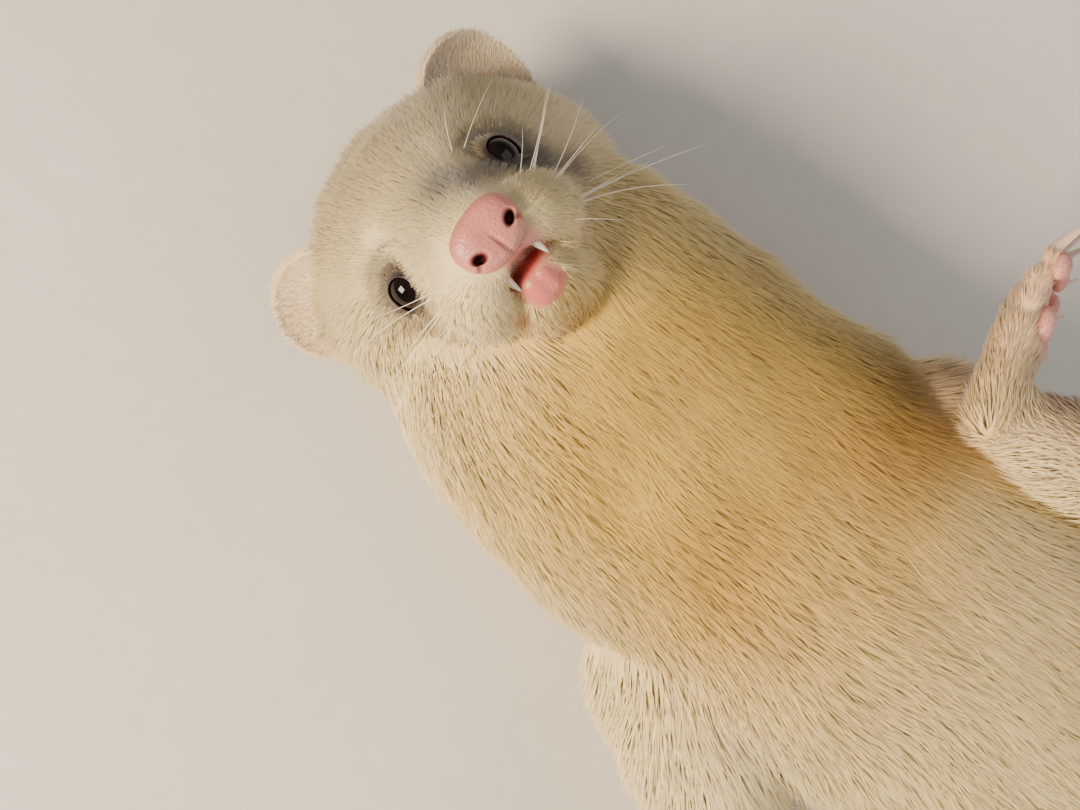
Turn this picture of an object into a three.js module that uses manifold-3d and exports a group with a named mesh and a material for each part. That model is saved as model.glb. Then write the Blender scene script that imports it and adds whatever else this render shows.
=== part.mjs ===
// A life-size ferret that lies on its back with its face turned up, as a still model.
// Units are millimetres. +X runs from the head towards the tail, +Y is the animal's left side and
// +Z is up, so the belly faces up. The origin is on the floor, under the middle of the chest.
// Every outline is that of the coat, out to the tips of the fur.
import * as THREE from "three";
import { LoftGeometry } from "three/addons/geometries/LoftGeometry.js";
import { mergeVertices } from "three/addons/utils/BufferGeometryUtils.js";
import Module from "manifold-3d";

const wasm = await Module();
wasm.setup();

// Driving sizes
const GAP = 0.3; // left between pieces that touch
const EYE_SPACING = 25.8; // between the middles of the two eyes
const EYE_HEIGHT = 44; // of the eyes above the floor
const EYE_DIAMETER = 7.6;
const HEAD_X = -120; // of the point midway between the eyes
const HEAD_Y = 8;
const HEAD_LEAN = 3; // degrees that the nose leans back, away from the chest
const HEAD_TURN = 2.5; // degrees that the nose is turned to the animal's right
const NOSE_WIDTH = 11.2;
const NOSE_HEIGHT = 8.6;
const NOSE_REACH = 22.8; // from the eyes to the tip of the nose
const NOSE_DROP = 7.8; // of the nose's middle below the line of the eyes
const NOSTRIL_SPACING = 6.8;
const CANINE_LENGTH = 4.6;
const CANINE_SPACING = 6.6;
const CANINE_FORWARD = 18.2; // of the canines' middles, towards the nose
const GUM_LEVEL = -11.8; // of the upper gum, from the line of the eyes
const EAR_WIDTH = 23.5;
const EAR_HEIGHT = 24;
const TAIL_LENGTH = 138;
const CLAW_LENGTH = 6.5;

const HEAD_SIDES = 24; // points round a section of the head
const HEAD_SECTIONS = 24;
const JAW_SECTIONS = 12;
const BODY_SECTIONS = 38;
const BODY_SIDES = 26;
const LIMB_SIDES = 12;
const TOE_SIDES = 6;

// Colours and finishes
const FINISH = {
  fur: { color: 0xe2d2ac, roughness: 0.92 },
  ear: { color: 0xe0b59a, roughness: 0.8 },
  paw: { color: 0xe4cdb4, roughness: 0.85 },
  nose: { color: 0xd9948f, roughness: 0.45 },
  eye: { color: 0x120b0a, roughness: 0.06 },
};

// Solids

// The closed geometry as a solid that can be joined and cut.
function solidOf(geometry) {
  const bare = new THREE.BufferGeometry();
  bare.setAttribute("position", geometry.getAttribute("position"));
  bare.setIndex(geometry.index);
  const merged = mergeVertices(bare, 1e-4);
  return new wasm.Manifold(
    new wasm.Mesh({
      numProp: 3,
      vertProperties: new Float32Array(merged.attributes.position.array),
      triVerts: new Uint32Array(merged.index.array),
    }),
  );
}

// The solid's surface as a geometry.
function geometryOf(solid) {
  const { vertProperties, triVerts } = solid.getMesh();
  const geometry = new THREE.BufferGeometry();
  geometry.setAttribute("position", new THREE.BufferAttribute(vertProperties, 3));
  geometry.setIndex(new THREE.BufferAttribute(triVerts, 1));
  geometry.computeVertexNormals();
  return geometry;
}

// The largest closed surface of the solid, with any loose scrap dropped.
function largest(solid) {
  return solid.decompose().reduce((best, piece) => (piece.volume() > best.volume() ? piece : best));
}

// The part of the solid on the floor's upper side.
function aboveFloor(solid) {
  return solid.trimByPlane([0, 0, 1], 0);
}

// The solid without every one of the others.
function without(solid, ...others) {
  return others.reduce((left, other) => left.subtract(other), solid);
}

function together(...solids) {
  return solids.reduce((sum, solid) => sum.add(solid));
}

// An ellipsoid with its middle at centre and its half sizes in radii.
function ellipsoid(centre, radii, turn = new THREE.Euler(), sides = 10) {
  const geometry = new THREE.SphereGeometry(1, sides, Math.round(sides * 0.6));
  const place = new THREE.Matrix4().compose(centre, new THREE.Quaternion().setFromEuler(turn), radii);
  return solidOf(geometry.applyMatrix4(place));
}

// Lofts

const at = (x, y, z) => new THREE.Vector3(x, y, z);

// A rounded section about centre, counter-clockwise from right to up. It reaches above and below the
// centre by different amounts, and a power over 2 makes it squarer.
function section(centre, right, up, half, above, below, power, sides) {
  const points = [];
  for (let i = 0; i < sides; i += 1) {
    const angle = (2 * Math.PI * i) / sides;
    const c = Math.cos(angle);
    const s = Math.sin(angle);
    const across = half * Math.sign(c) * Math.abs(c) ** (2 / power);
    const height = (s > 0 ? above : below) * Math.sign(s) * Math.abs(s) ** (2 / power);
    points.push(centre.clone().addScaledVector(right, across).addScaledVector(up, height));
  }
  return points;
}

// Rows of numbers, eased from one to the next by a spline through each column.
function eased(rows, count) {
  const columns = rows[0].map((_, column) => {
    const points = rows.map((row, i) => at(i, row[column], 0));
    return new THREE.CatmullRomCurve3(points, false, "centripetal");
  });
  const result = [];
  for (let i = 0; i < count; i += 1) {
    result.push(columns.map((curve) => curve.getPoint(i / (count - 1)).y));
  }
  return result;
}

function loft(sections) {
  return solidOf(new LoftGeometry(sections, { capStart: true, capEnd: true }));
}

// A limb whose middle runs through the points of the stations, [x, y, z, half width, half depth].
// side is the direction of its width; grow makes it thicker all round, to cut room for it.
function limb(stations, side, grow = 0, sides = LIMB_SIDES, steps = 3) {
  const path = new THREE.CatmullRomCurve3(stations.map(([x, y, z]) => at(x, y, z)), false, "centripetal");
  const sizes = eased(stations.map(([, , , wide, deep]) => [wide, deep]), (stations.length - 1) * steps + 1);
  const last = sizes.length - 1;
  return loft(
    sizes.map(([wide, deep], i) => {
      const along = path.getTangent(i / last);
      const up = new THREE.Vector3().crossVectors(along, side).normalize();
      const right = new THREE.Vector3().crossVectors(up, along).normalize();
      return section(path.getPoint(i / last), right, up, wide + grow, deep + grow, deep + grow, 2, sides);
    }),
  );
}

// Head, in its own frame: x to the animal's left, y to the crown, z to the nose, from between the eyes

// Stations from the back of the head to the lips:
// [z, half width, level of the greatest width, top, bottom, power]
const HEAD_STATIONS = [
  [-48, 3, 3, 6, 0, 2],
  [-46.5, 13, 3, 13, -8, 2],
  [-43, 20, 3, 19.5, -15, 2],
  [-37, 26.5, 2, 24, -21, 2],
  [-30, 30.2, 0.5, 26, -25.5, 2],
  [-22, 31.2, -2, 25, -27.5, 2],
  [-15, 29.6, -4, 22, -28, 2.05],
  [-9, 26, -5.5, 18.2, -27.4, 2.15],
  [-4, 21.6, -7, 14.4, -26.4, 2.1],
  [0, 17.6, -8.4, 11, -25, 2.05],
  [5, 13.6, -9.6, 7, -23.4, 2.05],
  [10, 10.6, -10.2, 3.4, -21.6, 2.1],
  [14.4, 8.8, -10.2, 0.2, -19, 2.1],
  [18, 7.6, -9.4, -2.2, -16, 2.1],
  [20.4, 5.6, -8.6, -4.2, -13, 2],
];

// Stations of the lower jaw: [z, half width, level of the greatest width, top, bottom, power]
const JAW_STATIONS = [
  [-2, 8.6, -19.4, -14.6, -26.4, 2.1],
  [3, 8.2, -18.8, -14.2, -25.2, 2.1],
  [8, 7.2, -18.2, -13.8, -23.8, 2.2],
  [12, 6.1, -17.6, -13.4, -22.4, 2.2],
  [14.8, 5, -17.2, -13.4, -21.2, 2.2],
  [16.8, 3.4, -16.9, -14.3, -19.7, 2.1],
  [17.7, 1.3, -16.8, -15.8, -17.9, 2],
];

const LEFTWARDS = at(1, 0, 0);
const CROWNWARDS = at(0, 1, 0);

// A loft along the head's z axis through stations of the form above.
function headLoft(stations, count, grow = 0) {
  return loft(
    eased(stations, count).map(([z, half, level, top, bottom, power]) =>
      section(
        at(0, level, z),
        LEFTWARDS,
        CROWNWARDS,
        half + grow,
        top - level + grow,
        level - bottom + grow,
        power,
        HEAD_SIDES,
      ),
    ),
  );
}

const EYE_RADIUS = EYE_DIAMETER / 2;
const EYE_SINK = 2.2; // of the eye's middle behind the fur, along its gaze
const EYE_FORWARD = 2.4; // of the fur at the eyes, towards the nose
const EYE_DROP = 1; // of the eyes below the point between them
const GAZE_TURN = THREE.MathUtils.degToRad(34); // of each eye outwards from straight ahead
const GAZE = at(Math.sin(GAZE_TURN), 0.06, Math.cos(GAZE_TURN));
const LID_RADIUS = 3.05; // of the middle of the lids' rim
const LID_THICKNESS = 0.7;
const LID_STRETCH = 1.24; // of the opening's length over its height

// The middle of the eye on the side given by sign, 1 for left and -1 for right.
function eyeCentre(sign) {
  const across = EYE_SPACING / 2 - GAZE.x * EYE_SINK;
  return at(sign * across, -EYE_DROP - GAZE.y * EYE_SINK, EYE_FORWARD - GAZE.z * EYE_SINK);
}

function gazeOf(sign) {
  return at(sign * GAZE.x, GAZE.y, GAZE.z).normalize();
}

// The shallow hollow that the fur leaves round an eye.
function eyeHollow(sign) {
  const bowl = new THREE.SphereGeometry(1, 14, 9);
  const turn = new THREE.Quaternion().setFromUnitVectors(at(0, 0, 1), gazeOf(sign));
  const centre = eyeCentre(sign).addScaledVector(gazeOf(sign), EYE_RADIUS + 0.9);
  return solidOf(bowl.applyMatrix4(new THREE.Matrix4().compose(centre, turn, at(5.4, 4.6, 3))));
}

// The rim of the lids: a ring about the gaze, longer towards the outer corner.
function lids(sign) {
  const gaze = gazeOf(sign);
  const ring = new THREE.TorusGeometry(LID_RADIUS, LID_THICKNESS, 6, 16);
  ring.scale(LID_STRETCH, 1, 1.2);
  ring.rotateZ(-sign * 0.35);
  const turn = new THREE.Quaternion().setFromUnitVectors(at(0, 0, 1), gaze);
  const centre = eyeCentre(sign).addScaledVector(gaze, EYE_RADIUS * 0.5);
  ring.applyMatrix4(new THREE.Matrix4().compose(centre, turn, at(1, 1, 1)));
  return solidOf(ring);
}

// A canine that hangs from the upper gum, its root sunk in the muzzle.
function canine(sign) {
  const tooth = new THREE.CylinderGeometry(1.15, 0.25, CANINE_LENGTH + 2, 7, 1);
  tooth.rotateX(0.18);
  tooth.translate((sign * CANINE_SPACING) / 2, GUM_LEVEL - CANINE_LENGTH / 2 + 1, CANINE_FORWARD);
  return solidOf(tooth);
}

// The nose leather, which stands out between the lips, with its two nostrils and the groove below.
function noseLoft(grow = 0) {
  const half = NOSE_WIDTH / 2;
  const high = NOSE_HEIGHT / 2;
  const stations = [
    [NOSE_REACH - 7.5, half * 0.72, high * 0.75],
    [NOSE_REACH - 4.5, half * 0.94, high * 0.95],
    [NOSE_REACH - 2.4, half, high],
    [NOSE_REACH - 0.9, half * 0.86, high * 0.84],
    [NOSE_REACH - 0.2, half * 0.55, high * 0.5],
    [NOSE_REACH, half * 0.2, high * 0.18],
  ];
  return loft(
    stations.map(([z, wide, tall]) =>
      section(
        at(0, -NOSE_DROP + 0.6, z),
        LEFTWARDS,
        CROWNWARDS,
        wide + grow,
        tall * 0.86 + grow,
        tall * 1.14 + grow,
        2.35,
        16,
      ),
    ),
  );
}

function nostril(sign) {
  const hole = ellipsoid(
    at((sign * NOSTRIL_SPACING) / 2, -NOSE_DROP, NOSE_REACH - 0.8),
    at(1.25, 1.05, 2.2),
    new THREE.Euler(0, sign * 0.35, 0),
    8,
  );
  const slit = ellipsoid(
    at(sign * (NOSTRIL_SPACING / 2 + 1.6), -NOSE_DROP - 0.9, NOSE_REACH - 1.5),
    at(1.7, 0.5, 1.6),
    new THREE.Euler(0, sign * 0.5, -sign * 0.5),
    8,
  );
  return together(hole, slit);
}

function makeNose() {
  const middle = at(0, -NOSE_DROP - 3.6, NOSE_REACH - 0.4);
  const groove = ellipsoid(middle, at(0.45, 3.4, 1.1), new THREE.Euler(), 8);
  return largest(without(noseLoft(), nostril(1), nostril(-1), groove));
}

// The two soft pads of the upper lip that carry the whiskers.
const LIP_PAD = { x: 5.2, y: -10.6, z: 12.4, radii: at(6.9, 6.8, 8.4), turn: 0.25 };

function lipPads() {
  const { x, y, z, radii, turn } = LIP_PAD;
  const pad = (sign) => ellipsoid(at(sign * x, y, z), radii, new THREE.Euler(0, sign * turn, 0), 18);
  return together(pad(1), pad(-1));
}

// The room that the lower jaw takes up in the muzzle, open to the front between the lips.
function jawRoom() {
  const front = JAW_STATIONS.slice(2, 5).map((row, i) => [[10, 15, 26][i], ...row.slice(1)]);
  return together(headLoft(JAW_STATIONS, JAW_SECTIONS, GAP), headLoft(front, 3, GAP));
}

// The room for an eyeball.
function socket(sign) {
  const radii = at(1, 1, 1).multiplyScalar(EYE_RADIUS + GAP);
  return ellipsoid(eyeCentre(sign), radii, new THREE.Euler(), 14);
}

// The head down to the line of the mouth, with lids, lips and the two upper canines.
function makeHead() {
  const bare = together(headLoft(HEAD_STATIONS, HEAD_SECTIONS), lipPads());
  const skull = together(without(bare, eyeHollow(1), eyeHollow(-1)), lids(1), lids(-1));
  const palate = ellipsoid(at(0, -13.7, 16.5), at(4.9, 2.5, 7), new THREE.Euler(0.12, 0, 0), 12);
  const philtrum = ellipsoid(at(0, -12.4, 20.4), at(0.4, 2.2, 1.4), new THREE.Euler(), 8);
  const opened = without(skull, socket(1), socket(-1), palate, philtrum, jawRoom());
  return largest(together(opened, canine(1), canine(-1)).subtract(noseLoft(GAP)));
}

// The lower jaw with its rounded lip, sunk between the lips and clear of the canines.
function makeJaw() {
  const floorOfMouth = ellipsoid(at(0, -14.3, 9.5), at(3.4, 1.6, 6));
  const toothRoom = (sign) =>
    ellipsoid(
      at((sign * CANINE_SPACING) / 2, GUM_LEVEL - CANINE_LENGTH / 2 + 0.6, CANINE_FORWARD + 0.2),
      at(1.9, CANINE_LENGTH / 2 + 1.6, 2),
      new THREE.Euler(0.18, 0, 0),
      8,
    );
  return largest(without(headLoft(JAW_STATIONS, JAW_SECTIONS), floorOfMouth, toothRoom(1), toothRoom(-1)));
}

// A round ear: a shallow cup that opens forwards and outwards, set on the side of the crown.
const EAR_PLACE = at(22.2, 9.8, -19); // the middle of the cup, from between the eyes, on the left
const EAR_LEAN = 0.92; // radians that the ear's top leans outwards from the crown
function makeEar(sign, room) {
  const half = EAR_WIDTH / 2;
  const tall = EAR_HEIGHT / 2;
  const cup = ellipsoid(at(0, 0, 0), at(half, tall, 5), new THREE.Euler(), 20);
  const hollow = ellipsoid(at(0, 0.4, 2.9), at(half - 1.5, tall - 1.7, 4.6), new THREE.Euler(), 20);
  const foldPlace = at(half * 0.5, -tall * 0.35, 0.4);
  const fold = ellipsoid(foldPlace, at(1.7, 3.6, 1.8), new THREE.Euler(0, 0, -0.5), 8);
  const place = new THREE.Matrix4().compose(
    at(sign * EAR_PLACE.x, EAR_PLACE.y, EAR_PLACE.z),
    new THREE.Quaternion().setFromEuler(new THREE.Euler(-0.22, sign * 0.42, -sign * EAR_LEAN, "ZYX")),
    at(1, 1, 1),
  );
  const shaped = together(without(cup, hollow), fold).transform(place.elements);
  return largest(shaped.subtract(room));
}

const nose = at(
  -Math.sin(THREE.MathUtils.degToRad(HEAD_LEAN)),
  -Math.sin(THREE.MathUtils.degToRad(HEAD_TURN)),
  1,
).normalize();
const leftwards = at(0, 1, 0).addScaledVector(nose, -nose.y).normalize();
const headPlace = new THREE.Matrix4()
  .makeBasis(leftwards, new THREE.Vector3().crossVectors(nose, leftwards), nose)
  .setPosition(HEAD_X, HEAD_Y, EYE_HEIGHT);

// Body, from inside the head to the rump

// Stations: [x, y, z of the middle, half width, height above it, depth below it, power]
const BODY_STATIONS = [
  [-134, 9, 22, 8, 7, 7, 2],
  [-128, 8.6, 22, 18, 16, 18, 2],
  [-116, 7, 23, 28, 26, 24, 2],
  [-104, 5, 25, 33, 28.5, 27, 2.1],
  [-90, 2.8, 26.5, 35.8, 29, 28.5, 2.15],
  [-74, 0.8, 27, 37.4, 29, 29, 2.2],
  [-58, 0, 27.5, 38.4, 29.5, 29.5, 2.2],
  [-38, 0, 28.5, 39.4, 30.5, 30.5, 2.2],
  [-12, 0, 29, 41, 33.5, 31, 2.15],
  [16, 0, 28.5, 41.4, 35, 30.5, 2.15],
  [46, 0, 27.5, 41.6, 32.5, 29.5, 2.2],
  [78, 0, 26.5, 41.2, 28, 28.5, 2.25],
  [108, 0, 26.5, 39.4, 26.5, 28.5, 2.25],
  [136, 0, 27.5, 38.4, 28.5, 29.5, 2.15],
  [160, 0, 28, 37, 29, 30, 2.1],
  [180, 0, 26.5, 31, 26, 28, 2.05],
  [194, 0, 24, 23, 20, 24, 2],
  [203, 0, 21, 12, 11, 14, 2],
  [206, 0, 19.5, 3, 3, 3, 2],
];

function bodyLoft(grow = 0) {
  return loft(
    eased(BODY_STATIONS, BODY_SECTIONS).map(([x, y, z, half, above, below, power]) =>
      section(
        at(x, y, z),
        at(0, 1, 0),
        at(0, 0, 1),
        half + grow,
        above + grow,
        below + grow,
        power,
        BODY_SIDES,
      ),
    ),
  );
}

// Where the trunk is parted: neck, chest, belly and hips
const TRUNK_CUTS = [-62, 28, 122];

// The solid's length between two planes across an axis, each set back by half the gap.
function lengthOf(solid, axis, from, to) {
  const back = axis.map((value) => -value);
  let piece = solid;
  if (from !== null) piece = piece.trimByPlane(axis, from + GAP / 2);
  if (to !== null) piece = piece.trimByPlane(back, -to + GAP / 2);
  return largest(piece);
}

// Tail, laid on the floor in a lazy curve

const TAIL_ROOT = at(190, 0, 17);
const TAIL_RADII = [13.5, 12.6, 11.6, 10.6, 9.2, 6.6, 1.4]; // from root to tip
const TAIL_BEND = 34; // of the tip to the animal's left
const TAIL_SINK = 0.9; // of its underside below the floor before it is cut flat
const TAIL_CUTS = [246, 290]; // where it is parted

function tailStations() {
  const last = TAIL_RADII.length - 1;
  return TAIL_RADII.map((radius, i) => {
    const t = i / last;
    const settled = Math.min(1, t / 0.22);
    const height = THREE.MathUtils.lerp(TAIL_ROOT.z, radius - TAIL_SINK, settled);
    return [TAIL_ROOT.x + (TAIL_LENGTH - 2) * t, TAIL_BEND * t * t * (1.6 - 0.6 * t), height, radius, radius];
  });
}

// Legs. Each stretch has stations [x, y, z, half width, half depth] from its root to its far end,
// and side, the direction of its width.

const LEGS = {
  fore_left: {
    upper: {
      side: at(0.2, -0.3, 1),
      stations: [
        [-46, 18, 32, 15, 14],
        [-32, 27, 36, 17, 15],
        [-14, 33, 41, 15, 13.5],
        [1, 37, 44, 12.5, 12],
        [9, 38.5, 45, 6, 6],
      ],
    },
    lower: {
      side: at(0, 1, 0.2),
      stations: [
        [7, 38, 46, 7, 7],
        [0, 38, 49, 11.5, 10.5],
        [-16, 35, 55, 9.8, 9],
        [-30, 31.5, 60.5, 7.4, 6.6],
        [-39.5, 29, 63.6, 5.6, 5],
      ],
    },
    paw: {
      wrist: at(-38.8, 30.5, 63.6),
      along: at(-0.03, 0.93, -0.37),
      palm: at(0.77, 0.26, 0.6),
      length: 17,
      curl: 0.2,
    },
  },
  fore_right: {
    upper: {
      side: at(0.3, 0.2, 1),
      stations: [
        [-56, -17, 29, 15, 15],
        [-45, -30, 30, 18.5, 17],
        [-29, -42, 30, 18, 16],
        [-13, -53, 28.5, 14, 13],
        [-5, -58, 27.5, 7, 7],
      ],
    },
    lower: {
      side: at(1, 0, 0),
      stations: [
        [-6, -53, 27.5, 7, 7],
        [-5, -60, 27, 11.5, 11],
        [-6, -75, 22.5, 9.8, 9.2],
        [-10, -90, 16.5, 7.4, 6.8],
        [-13, -100, 12.6, 5.6, 5],
      ],
    },
    paw: {
      wrist: at(-13.4, -100, 12.4),
      along: at(-0.42, -0.88, -0.22),
      palm: at(-0.2, 0.1, -0.95),
      length: 17,
      curl: 0.45,
    },
  },
  hind_left: {
    upper: {
      side: at(0.8, 0.6, 0),
      stations: [
        [170, 8, 29, 22, 18],
        [158, 22, 33, 23.5, 19],
        [144, 37, 40.5, 19.5, 17],
        [131, 49, 46.5, 13.5, 13.5],
        [125, 54, 49, 7, 7],
      ],
    },
    lower: {
      side: at(0, 0.3, 1),
      stations: [
        [124, 51, 48, 7, 7],
        [130, 53, 47, 12.5, 12],
        [144, 59, 41, 11, 10],
        [158, 65, 34, 8, 7.2],
        [168, 69, 29.5, 6, 5.6],
      ],
    },
    paw: {
      wrist: at(168, 69.4, 29.6),
      along: at(0.86, 0.36, 0.34),
      palm: at(0.3, 0.18, -0.94),
      length: 33,
      curl: 0.5,
    },
  },
  hind_right: {
    upper: {
      side: at(0.8, -0.6, 0),
      stations: [
        [170, -8, 28, 22, 18],
        [158, -23, 30, 23.5, 19],
        [145, -40, 35, 19.5, 17],
        [132, -54, 39, 13.5, 13.5],
        [126, -59, 40, 7, 7],
      ],
    },
    lower: {
      side: at(0, -0.3, 1),
      stations: [
        [125, -56, 40, 7, 7],
        [131, -58, 39, 12.5, 12],
        [146, -64, 33, 11, 10],
        [161, -70, 26, 8, 7.2],
        [171, -74, 21.5, 6, 5.6],
      ],
    },
    paw: {
      wrist: at(171, -74.4, 21.6),
      along: at(0.9, -0.34, 0.2),
      palm: at(0.14, -0.2, -0.95),
      length: 33,
      curl: 0.5,
    },
  },
};

const WRIST_SINK = 7; // of the palm's root inside the end of the limb
const PALM_WIDTHS = [3, 5.6, 7, 7.6, 5.6]; // half widths from the wrist to the toes
const PALM_DEPTHS = [2.6, 4.6, 4.2, 3.7, 2.6]; // half depths at the same places
const PALM_PAD = at(4.2, 5.8, 2.3); // half sizes of the pad behind the toes
const TOES = 5;
const TOE_SPREAD = 3.3; // between neighbouring toes at their roots
const TOE_FAN = 0.16; // radians between neighbouring toes
const TOE_LENGTH = 13;
const TOE_RADIUS = 2.7;
const CLAW_RADII = [1.2, 0.9, 0.2]; // from root to tip

// A paw in its own frame: x along the toes from the wrist, y across, z out of its back.
// length is the palm's, and curl bends the toes towards the palm.
function makePaw({ length, curl }) {
  const reaches = [-WRIST_SINK, 0, length * 0.55, length, length + 3.5];
  const stations = reaches.map((reach, i) => [reach, 0, 0, PALM_WIDTHS[i], PALM_DEPTHS[i]]);
  let paw = limb(stations, at(0, 1, 0), 0, 10, 1).add(ellipsoid(at(length - 1, 0, -2.4), PALM_PAD));
  for (let i = 0; i < TOES; i += 1) {
    const fromMiddle = i - (TOES - 1) / 2;
    paw = together(paw, ...makeToe(length, curl, fromMiddle));
  }
  return paw;
}

// A toe and its claw. fromMiddle is its place in the row, counted from the middle toe.
function makeToe(palmLength, curl, fromMiddle) {
  const fan = fromMiddle * TOE_FAN;
  const reach = TOE_LENGTH * (1 - 0.07 * fromMiddle * fromMiddle);
  const root = at(palmLength - 0.8 - Math.abs(fromMiddle), fromMiddle * TOE_SPREAD, -0.2);
  const bent = (t) =>
    at(
      root.x + reach * t * Math.cos(curl * t) * Math.cos(fan),
      root.y + reach * t * Math.sin(fan),
      root.z - reach * t * Math.sin(curl * t),
    );
  const toe = [0, 0.4, 0.86, 1.02].map((t, k) => {
    const radius = TOE_RADIUS * [0.92, 1, 0.88, 0.4][k];
    return [...bent(t).toArray(), radius * 0.95, radius];
  });
  const ahead = bent(1).sub(bent(0.8)).normalize();
  const claw = CLAW_RADII.map((radius, k) => {
    const t = k / (CLAW_RADII.length - 1);
    const point = bent(0.84).addScaledVector(ahead, CLAW_LENGTH * t + 0.5);
    return [point.x, point.y, point.z - 1.6 * t * t + 0.8, radius * 0.75, radius];
  });
  return [limb(toe, at(0, 1, 0), 0, TOE_SIDES, 1), limb(claw, at(0, 1, 0), 0, 4, 1)];
}

// The paw's frame in the body: along the toes, across, and out of the back of the paw.
function pawPlace({ wrist, along, palm }) {
  const x = along.clone().normalize();
  const z = palm.clone().addScaledVector(x, -palm.dot(x)).normalize().negate();
  const y = new THREE.Vector3().crossVectors(z, x);
  return new THREE.Matrix4().makeBasis(x, y, z).setPosition(wrist);
}

// Assembly

const ferret = new THREE.Group();

// Adds a solid to a group as a mesh of that name and finish.
function add(group, name, solid, finish) {
  const material = new THREE.MeshStandardMaterial({ ...FINISH[finish], metalness: 0 });
  const mesh = new THREE.Mesh(geometryOf(solid), material);
  mesh.name = name;
  group.add(mesh);
  return mesh;
}

const head = new THREE.Group();
head.applyMatrix4(headPlace);
ferret.add(head);

const toHead = headPlace.clone().invert();
const floorOfHead = (solid) =>
  aboveFloor(solid.transform(headPlace.elements)).transform(toHead.elements);
const headRoom = headLoft(HEAD_STATIONS, HEAD_SECTIONS, GAP);
add(head, "head", largest(floorOfHead(makeHead())), "fur");
add(head, "lower_jaw", makeJaw(), "fur");
add(head, "nose", makeNose(), "nose");
for (const [side, sign] of [["left", 1], ["right", -1]]) {
  const eye = new THREE.Mesh(
    new THREE.SphereGeometry(EYE_RADIUS, 16, 10),
    new THREE.MeshStandardMaterial({ ...FINISH.eye, metalness: 0 }),
  );
  eye.name = `eye_${side}`;
  eye.position.copy(eyeCentre(sign));
  head.add(eye);
  add(head, `ear_${side}`, makeEar(sign, headRoom), "ear");
}

const headCut = together(headRoom, jawRoom()).transform(headPlace.elements);
const earCut = together(
  ...[1, -1].map((sign) => makeEar(sign, headRoom).transform(headPlace.elements)),
);
const trunk = aboveFloor(without(bodyLoft(), headCut, earCut));
const bodyRoom = bodyLoft(GAP);
["neck", "chest", "belly", "hips"].forEach((name, i) => {
  const from = i === 0 ? null : TRUNK_CUTS[i - 1];
  const to = i === TRUNK_CUTS.length ? null : TRUNK_CUTS[i];
  add(ferret, name, lengthOf(trunk, [1, 0, 0], from, to), "fur");
});

const tail = aboveFloor(limb(tailStations(), at(0, 1, 0), 0, 14, 3)).subtract(bodyRoom);
["tail_base", "tail_middle", "tail_tip"].forEach((name, i) => {
  const from = i === 0 ? null : TAIL_CUTS[i - 1];
  const to = i === TAIL_CUTS.length ? null : TAIL_CUTS[i];
  add(ferret, name, lengthOf(tail, [1, 0, 0], from, to), "fur");
});

const NAMES = {
  fore: { upper: "upper_arm", lower: "forearm", paw: "forepaw" },
  hind: { upper: "thigh", lower: "shank", paw: "hindpaw" },
};
for (const [leg, { upper, lower, paw }] of Object.entries(LEGS)) {
  const [end, side] = leg.split("_");
  const names = NAMES[end];
  const upperRoom = limb(upper.stations, upper.side, GAP);
  const lowerRoom = limb(lower.stations, lower.side, GAP);
  const upperPart = limb(upper.stations, upper.side).subtract(bodyRoom);
  const lowerPart = without(limb(lower.stations, lower.side), bodyRoom, upperRoom);
  const place = pawPlace(paw);
  const pawPart = without(makePaw(paw).transform(place.elements), bodyRoom, upperRoom, lowerRoom);
  add(ferret, `${names.upper}_${side}`, largest(aboveFloor(upperPart)), "fur");
  add(ferret, `${names.lower}_${side}`, largest(aboveFloor(lowerPart)), "fur");
  add(ferret, `${names.paw}_${side}`, largest(aboveFloor(pawPart)), "paw");
}

export default ferret;
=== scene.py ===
"""A cream ferret that lies on its back, dressed over its plain solids.

One skin runs under the whole coat. The coat is hundreds of thousands of slim, pointed tufts that follow
the lie of the hair. Eyes, nose leather, ears, teeth, claws, pads and whiskers are pieces of their own.
Lengths here are millimetres, and only the making of a mesh turns them into metres. +X runs from the head
to the tail, +Y is the animal's left side and +Z is up, so the belly faces up.
"""

import logging
import math
from dataclasses import dataclass, field
from enum import Enum
from typing import Sequence

import bpy
import numpy as np
from mathutils import Matrix


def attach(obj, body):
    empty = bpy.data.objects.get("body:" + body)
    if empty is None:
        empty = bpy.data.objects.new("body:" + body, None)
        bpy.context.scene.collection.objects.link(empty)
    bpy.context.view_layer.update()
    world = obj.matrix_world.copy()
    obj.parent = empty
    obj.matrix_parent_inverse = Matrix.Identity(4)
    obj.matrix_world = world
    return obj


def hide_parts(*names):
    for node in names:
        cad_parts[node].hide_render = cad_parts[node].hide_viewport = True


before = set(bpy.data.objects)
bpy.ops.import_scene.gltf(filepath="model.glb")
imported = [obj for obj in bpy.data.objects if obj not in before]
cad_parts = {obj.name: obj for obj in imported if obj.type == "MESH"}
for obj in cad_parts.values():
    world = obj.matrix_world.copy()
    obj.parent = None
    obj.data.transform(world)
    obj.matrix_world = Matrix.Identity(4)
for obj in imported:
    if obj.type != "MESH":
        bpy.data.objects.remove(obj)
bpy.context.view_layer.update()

Array = np.ndarray
Faces = Sequence[Array]
Shell = tuple[Array, list[Array]]  # points and faces of a closed surface
Triple = tuple[float, float, float]
Chance = np.random.Generator
Item = bpy.types.Object
Material = bpy.types.Material
Tree = bpy.types.NodeTree
MM = 0.001
SEED = 20
FLOOR_GAP = 0.35  # how far root and tip of a tuft stay above the floor
CLAW_GAP = 0.4  # how far the claws stay above it
FILL_PASSES = 60
TUFT_THICKNESS = 0.45  # as a share of its width
ROOT_DEPTH = 0.3  # how deep the foot of a tuft is sunk into the skin
BAKE_PATCH = 0.003  # width of a tuft on the map OFBake
THROWS = 5  # random points thrown for each tuft wanted
WET_ROUGHNESS = 0.22
log = logging.getLogger("ferret")


# Sizes shared with the solids


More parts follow.
